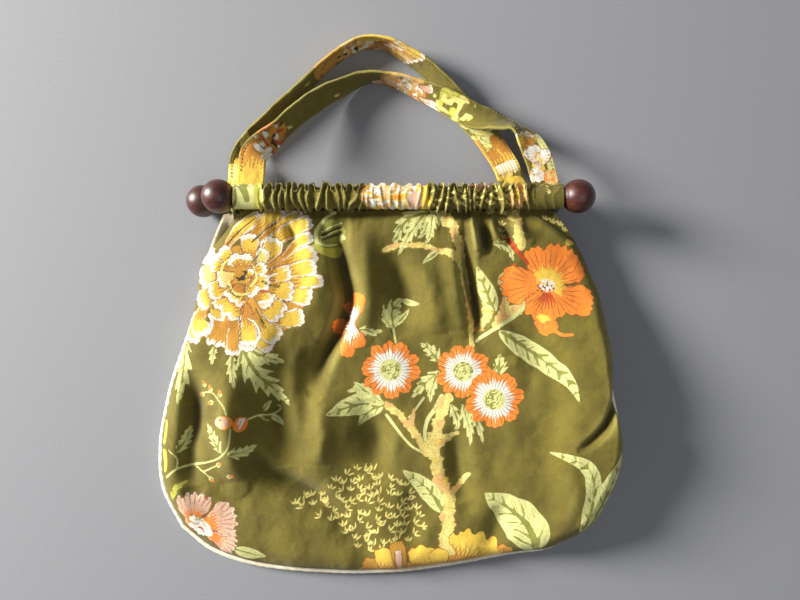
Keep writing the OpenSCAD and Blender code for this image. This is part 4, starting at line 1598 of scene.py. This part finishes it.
def rear_strap_print(p):
    p.blob((14, 2), 20, 14, 0, "yellow", 0.15, 120)
    for k in range(3):
        p.leaf([(28 + 8 * k, -9 + 6 * k), (36 + 8 * k, -3 + 5 * k), (45 + 8 * k, 6 + 3 * k)], 5.0, 0, 1)
    p.mottle((20, 6), 14, 8, "cream", 5, 0.2, 121)
    p.sprig((134, -2), 6, 90)
    p.mottle((178, 0), 34, 28, "ochre", 12, -0.95, 122)
    p.mottle((192, 0), 20, 16, "peach", 6, 0.0, 123)
    p.mottle((172, -2), 26, 12, "line", 4, 0.45, 124)
    p.mottle((196, 1), 17, 13, "white", 4, 0.25, 126)
    p.mottle((226, 10), 30, 8, "yellow", 9, -0.9, 128)
    for k in range(5):
        path = [(206 + 5 * k, -12 + 5 * k), (226 + 5 * k, -10 + 5 * k), (250 + 4 * k, -10 + 5 * k)]
        p.petal(path, 5.5, ink="ochre" if k % 2 else "yellow", rim_width=2.0, edge="ochre", lobes=2)
        p.stem([(214 + 5 * k, -10 + 5 * k), (232 + 4 * k, -8 + 4 * k)], 0.8, "white")
    for k in range(6):
        path = [(330 + 9 * k, -11 + 5 * (k % 2)), (340 + 9 * k, -2), (349 + 9 * k, 9)]
        p.leaf(path, 6, 0, (-1) ** k, "leaf" if k % 2 else "cream")
    p.stem([(360, -12), (380, -12), (400, -12)], 3.0, "ochre")
    for x, y in [(366, 4), (374, 9), (378, -5)]:
        p.petal([(x, y), (x + 14, 0.9 * y), (x + 32, 0.8 * y)], 9, rim=None, edge="ochre")
    for k in range(7):
        p.stem([(394, -9 + 3 * k), (403 + 3 * (k % 2), -9 + 3 * k)], 0.9, "white")
    p.blob((420, 0), 11, 13, 0, "yellow", 0.1, 127)


# ---------------------------------------------------------------- wood
def knob(name, rod, side):
    """Ball turned with a small flat at its pole and a shallow groove round it."""
    a = np.radians(np.linspace(6, 174, 57))
    out = -BALL_R * np.cos(a)
    radius = BALL_R * np.sin(a)
    groove = 0.35 * np.exp(-(((out - 12.6) / 0.6) ** 2)) + 0.3 * np.exp(-(((out + 12.2) / 0.6) ** 2))
    profile = np.stack([np.clip(out, -15.2, 15.3), radius - groove], 1)
    centre = (rod[0] + side * ROD_SPAN / 2, ROD_Y, rod[1])
    return turned(name, profile, centre, side, WOOD, 72)


def dowel(name, rod):
    half = ROD_SPAN / 2 - BALL_R + 14
    x = np.linspace(-half, half, 61)
    profile = np.stack([x, DOWEL_R - 0.15 + 0.1 * noise(x, 0 * x, 30, 2)], 1)
    return turned(name, profile, (rod[0], ROD_Y, rod[1]), 1, WOOD, 32)


def rod_wood(side_name, rod):
    """A rod's dowel and its two balls, which turn together."""
    made = {
        f"{side_name}_dowel": dowel(f"{side_name}_rod_wood", rod),
        f"{side_name}_left_ball": knob(f"{side_name}_left_knob", rod, -1),
        f"{side_name}_right_ball": knob(f"{side_name}_right_knob", rod, 1),
    }
    for node, obj in made.items():
        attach(obj, f"{side_name}_rod")
        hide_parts(node)


# ---------------------------------------------------------------- the whole bag
def build():
    front, front_points = front_panel()
    lining = front_lining(front_points)
    rear = rear_panel()
    back_lining = rear_lining()
    side_piping()
    front_mouth = (FRONT_ROD, FRONT_GATHERS, FRONT_SEED, "front_mouth", front_casing_print)
    rear_mouth = (REAR_ROD, REAR_GATHERS, REAR_SEED, "back", rear_casing_print)
    front_tube = casing("front_casing", *front_mouth)
    rear_tube = casing("rear_casing", *rear_mouth)
    front_frill = header("front_header", *front_mouth)
    rear_frill = header("rear_header", *rear_mouth)
    front_strap = strap(
        "front_handle", FRONT_ROUTE, (-127, 3), (148, -8), FRONT_ROD,
        ("front_handle", "front_left_tab", "front_right_tab"), front_strap_print, 71,
    )
    rear_strap = strap(
        "rear_handle", REAR_ROUTE, (-143, 2), (126, -11), REAR_ROD,
        ("rear_handle", "rear_left_tab", "rear_right_tab"), rear_strap_print, 81,
    )
    rod_wood("front", FRONT_ROD)
    rod_wood("rear", REAR_ROD)


def place_camera():
    data = bpy.data.cameras.new("camera")
    data.sensor_width = 36
    data.lens = CAMERA_LENS
    camera = bpy.data.objects.new("camera", data)
    camera.location = CAMERA_AT
    bpy.context.scene.collection.objects.link(camera)
    bpy.context.scene.camera = camera


def area_light(name, location, target, size, power, colour):
    data = bpy.data.lights.new(name, "AREA")
    data.shape = "DISK"
    data.size = size
    data.energy = power
    data.color = colour
    light = bpy.data.objects.new(name, data)
    light.location = location
    away = np.array(target, float) - np.array(location, float)
    light.rotation_euler = (
        math.acos(-away[2] / np.linalg.norm(away)), 0, math.atan2(away[1], away[0]) - math.pi / 2,
    )
    bpy.context.scene.collection.objects.link(light)


def set_stage():
    """Plain pale floor and soft light from the left."""
    bpy.context.scene.view_settings.view_transform = "Standard"
    s = Shader("pale_floor", 0.9)
    spot = s.millimetres()
    tone = s.noise(spot, 0.4, 3.0)
    s.put(s.out["Base Color"], s.mix(tone, srgb(138, 139, 143), srgb(151, 152, 155)))
    floor = mesh_object(
        "floor", [(-3000, -3000, 0), (3000, -3000, 0), (3000, 3000, 0), (-3000, 3000, 0)],
        [(0, 1, 2, 3)], s.material,
    )
    area_light("key", (-2.35, 0.8, 1.08), (0, -0.03, 0), 0.9, 184, (1.0, 0.98, 0.94))
    area_light("fill", (0.6, -0.7, 1.9), (0, 0, 0), 1.2, 6, (0.93, 0.96, 1.0))
    world = bpy.data.worlds.new("studio")
    bpy.context.scene.world = world
    world.use_nodes = True
    background = world.node_tree.nodes["Background"]
    background.inputs["Color"].default_value = (0.93, 0.95, 1.0, 1)
    background.inputs["Strength"].default_value = 0.2


build()
set_stage()
place_camera()
bpy.context.view_layer.update()
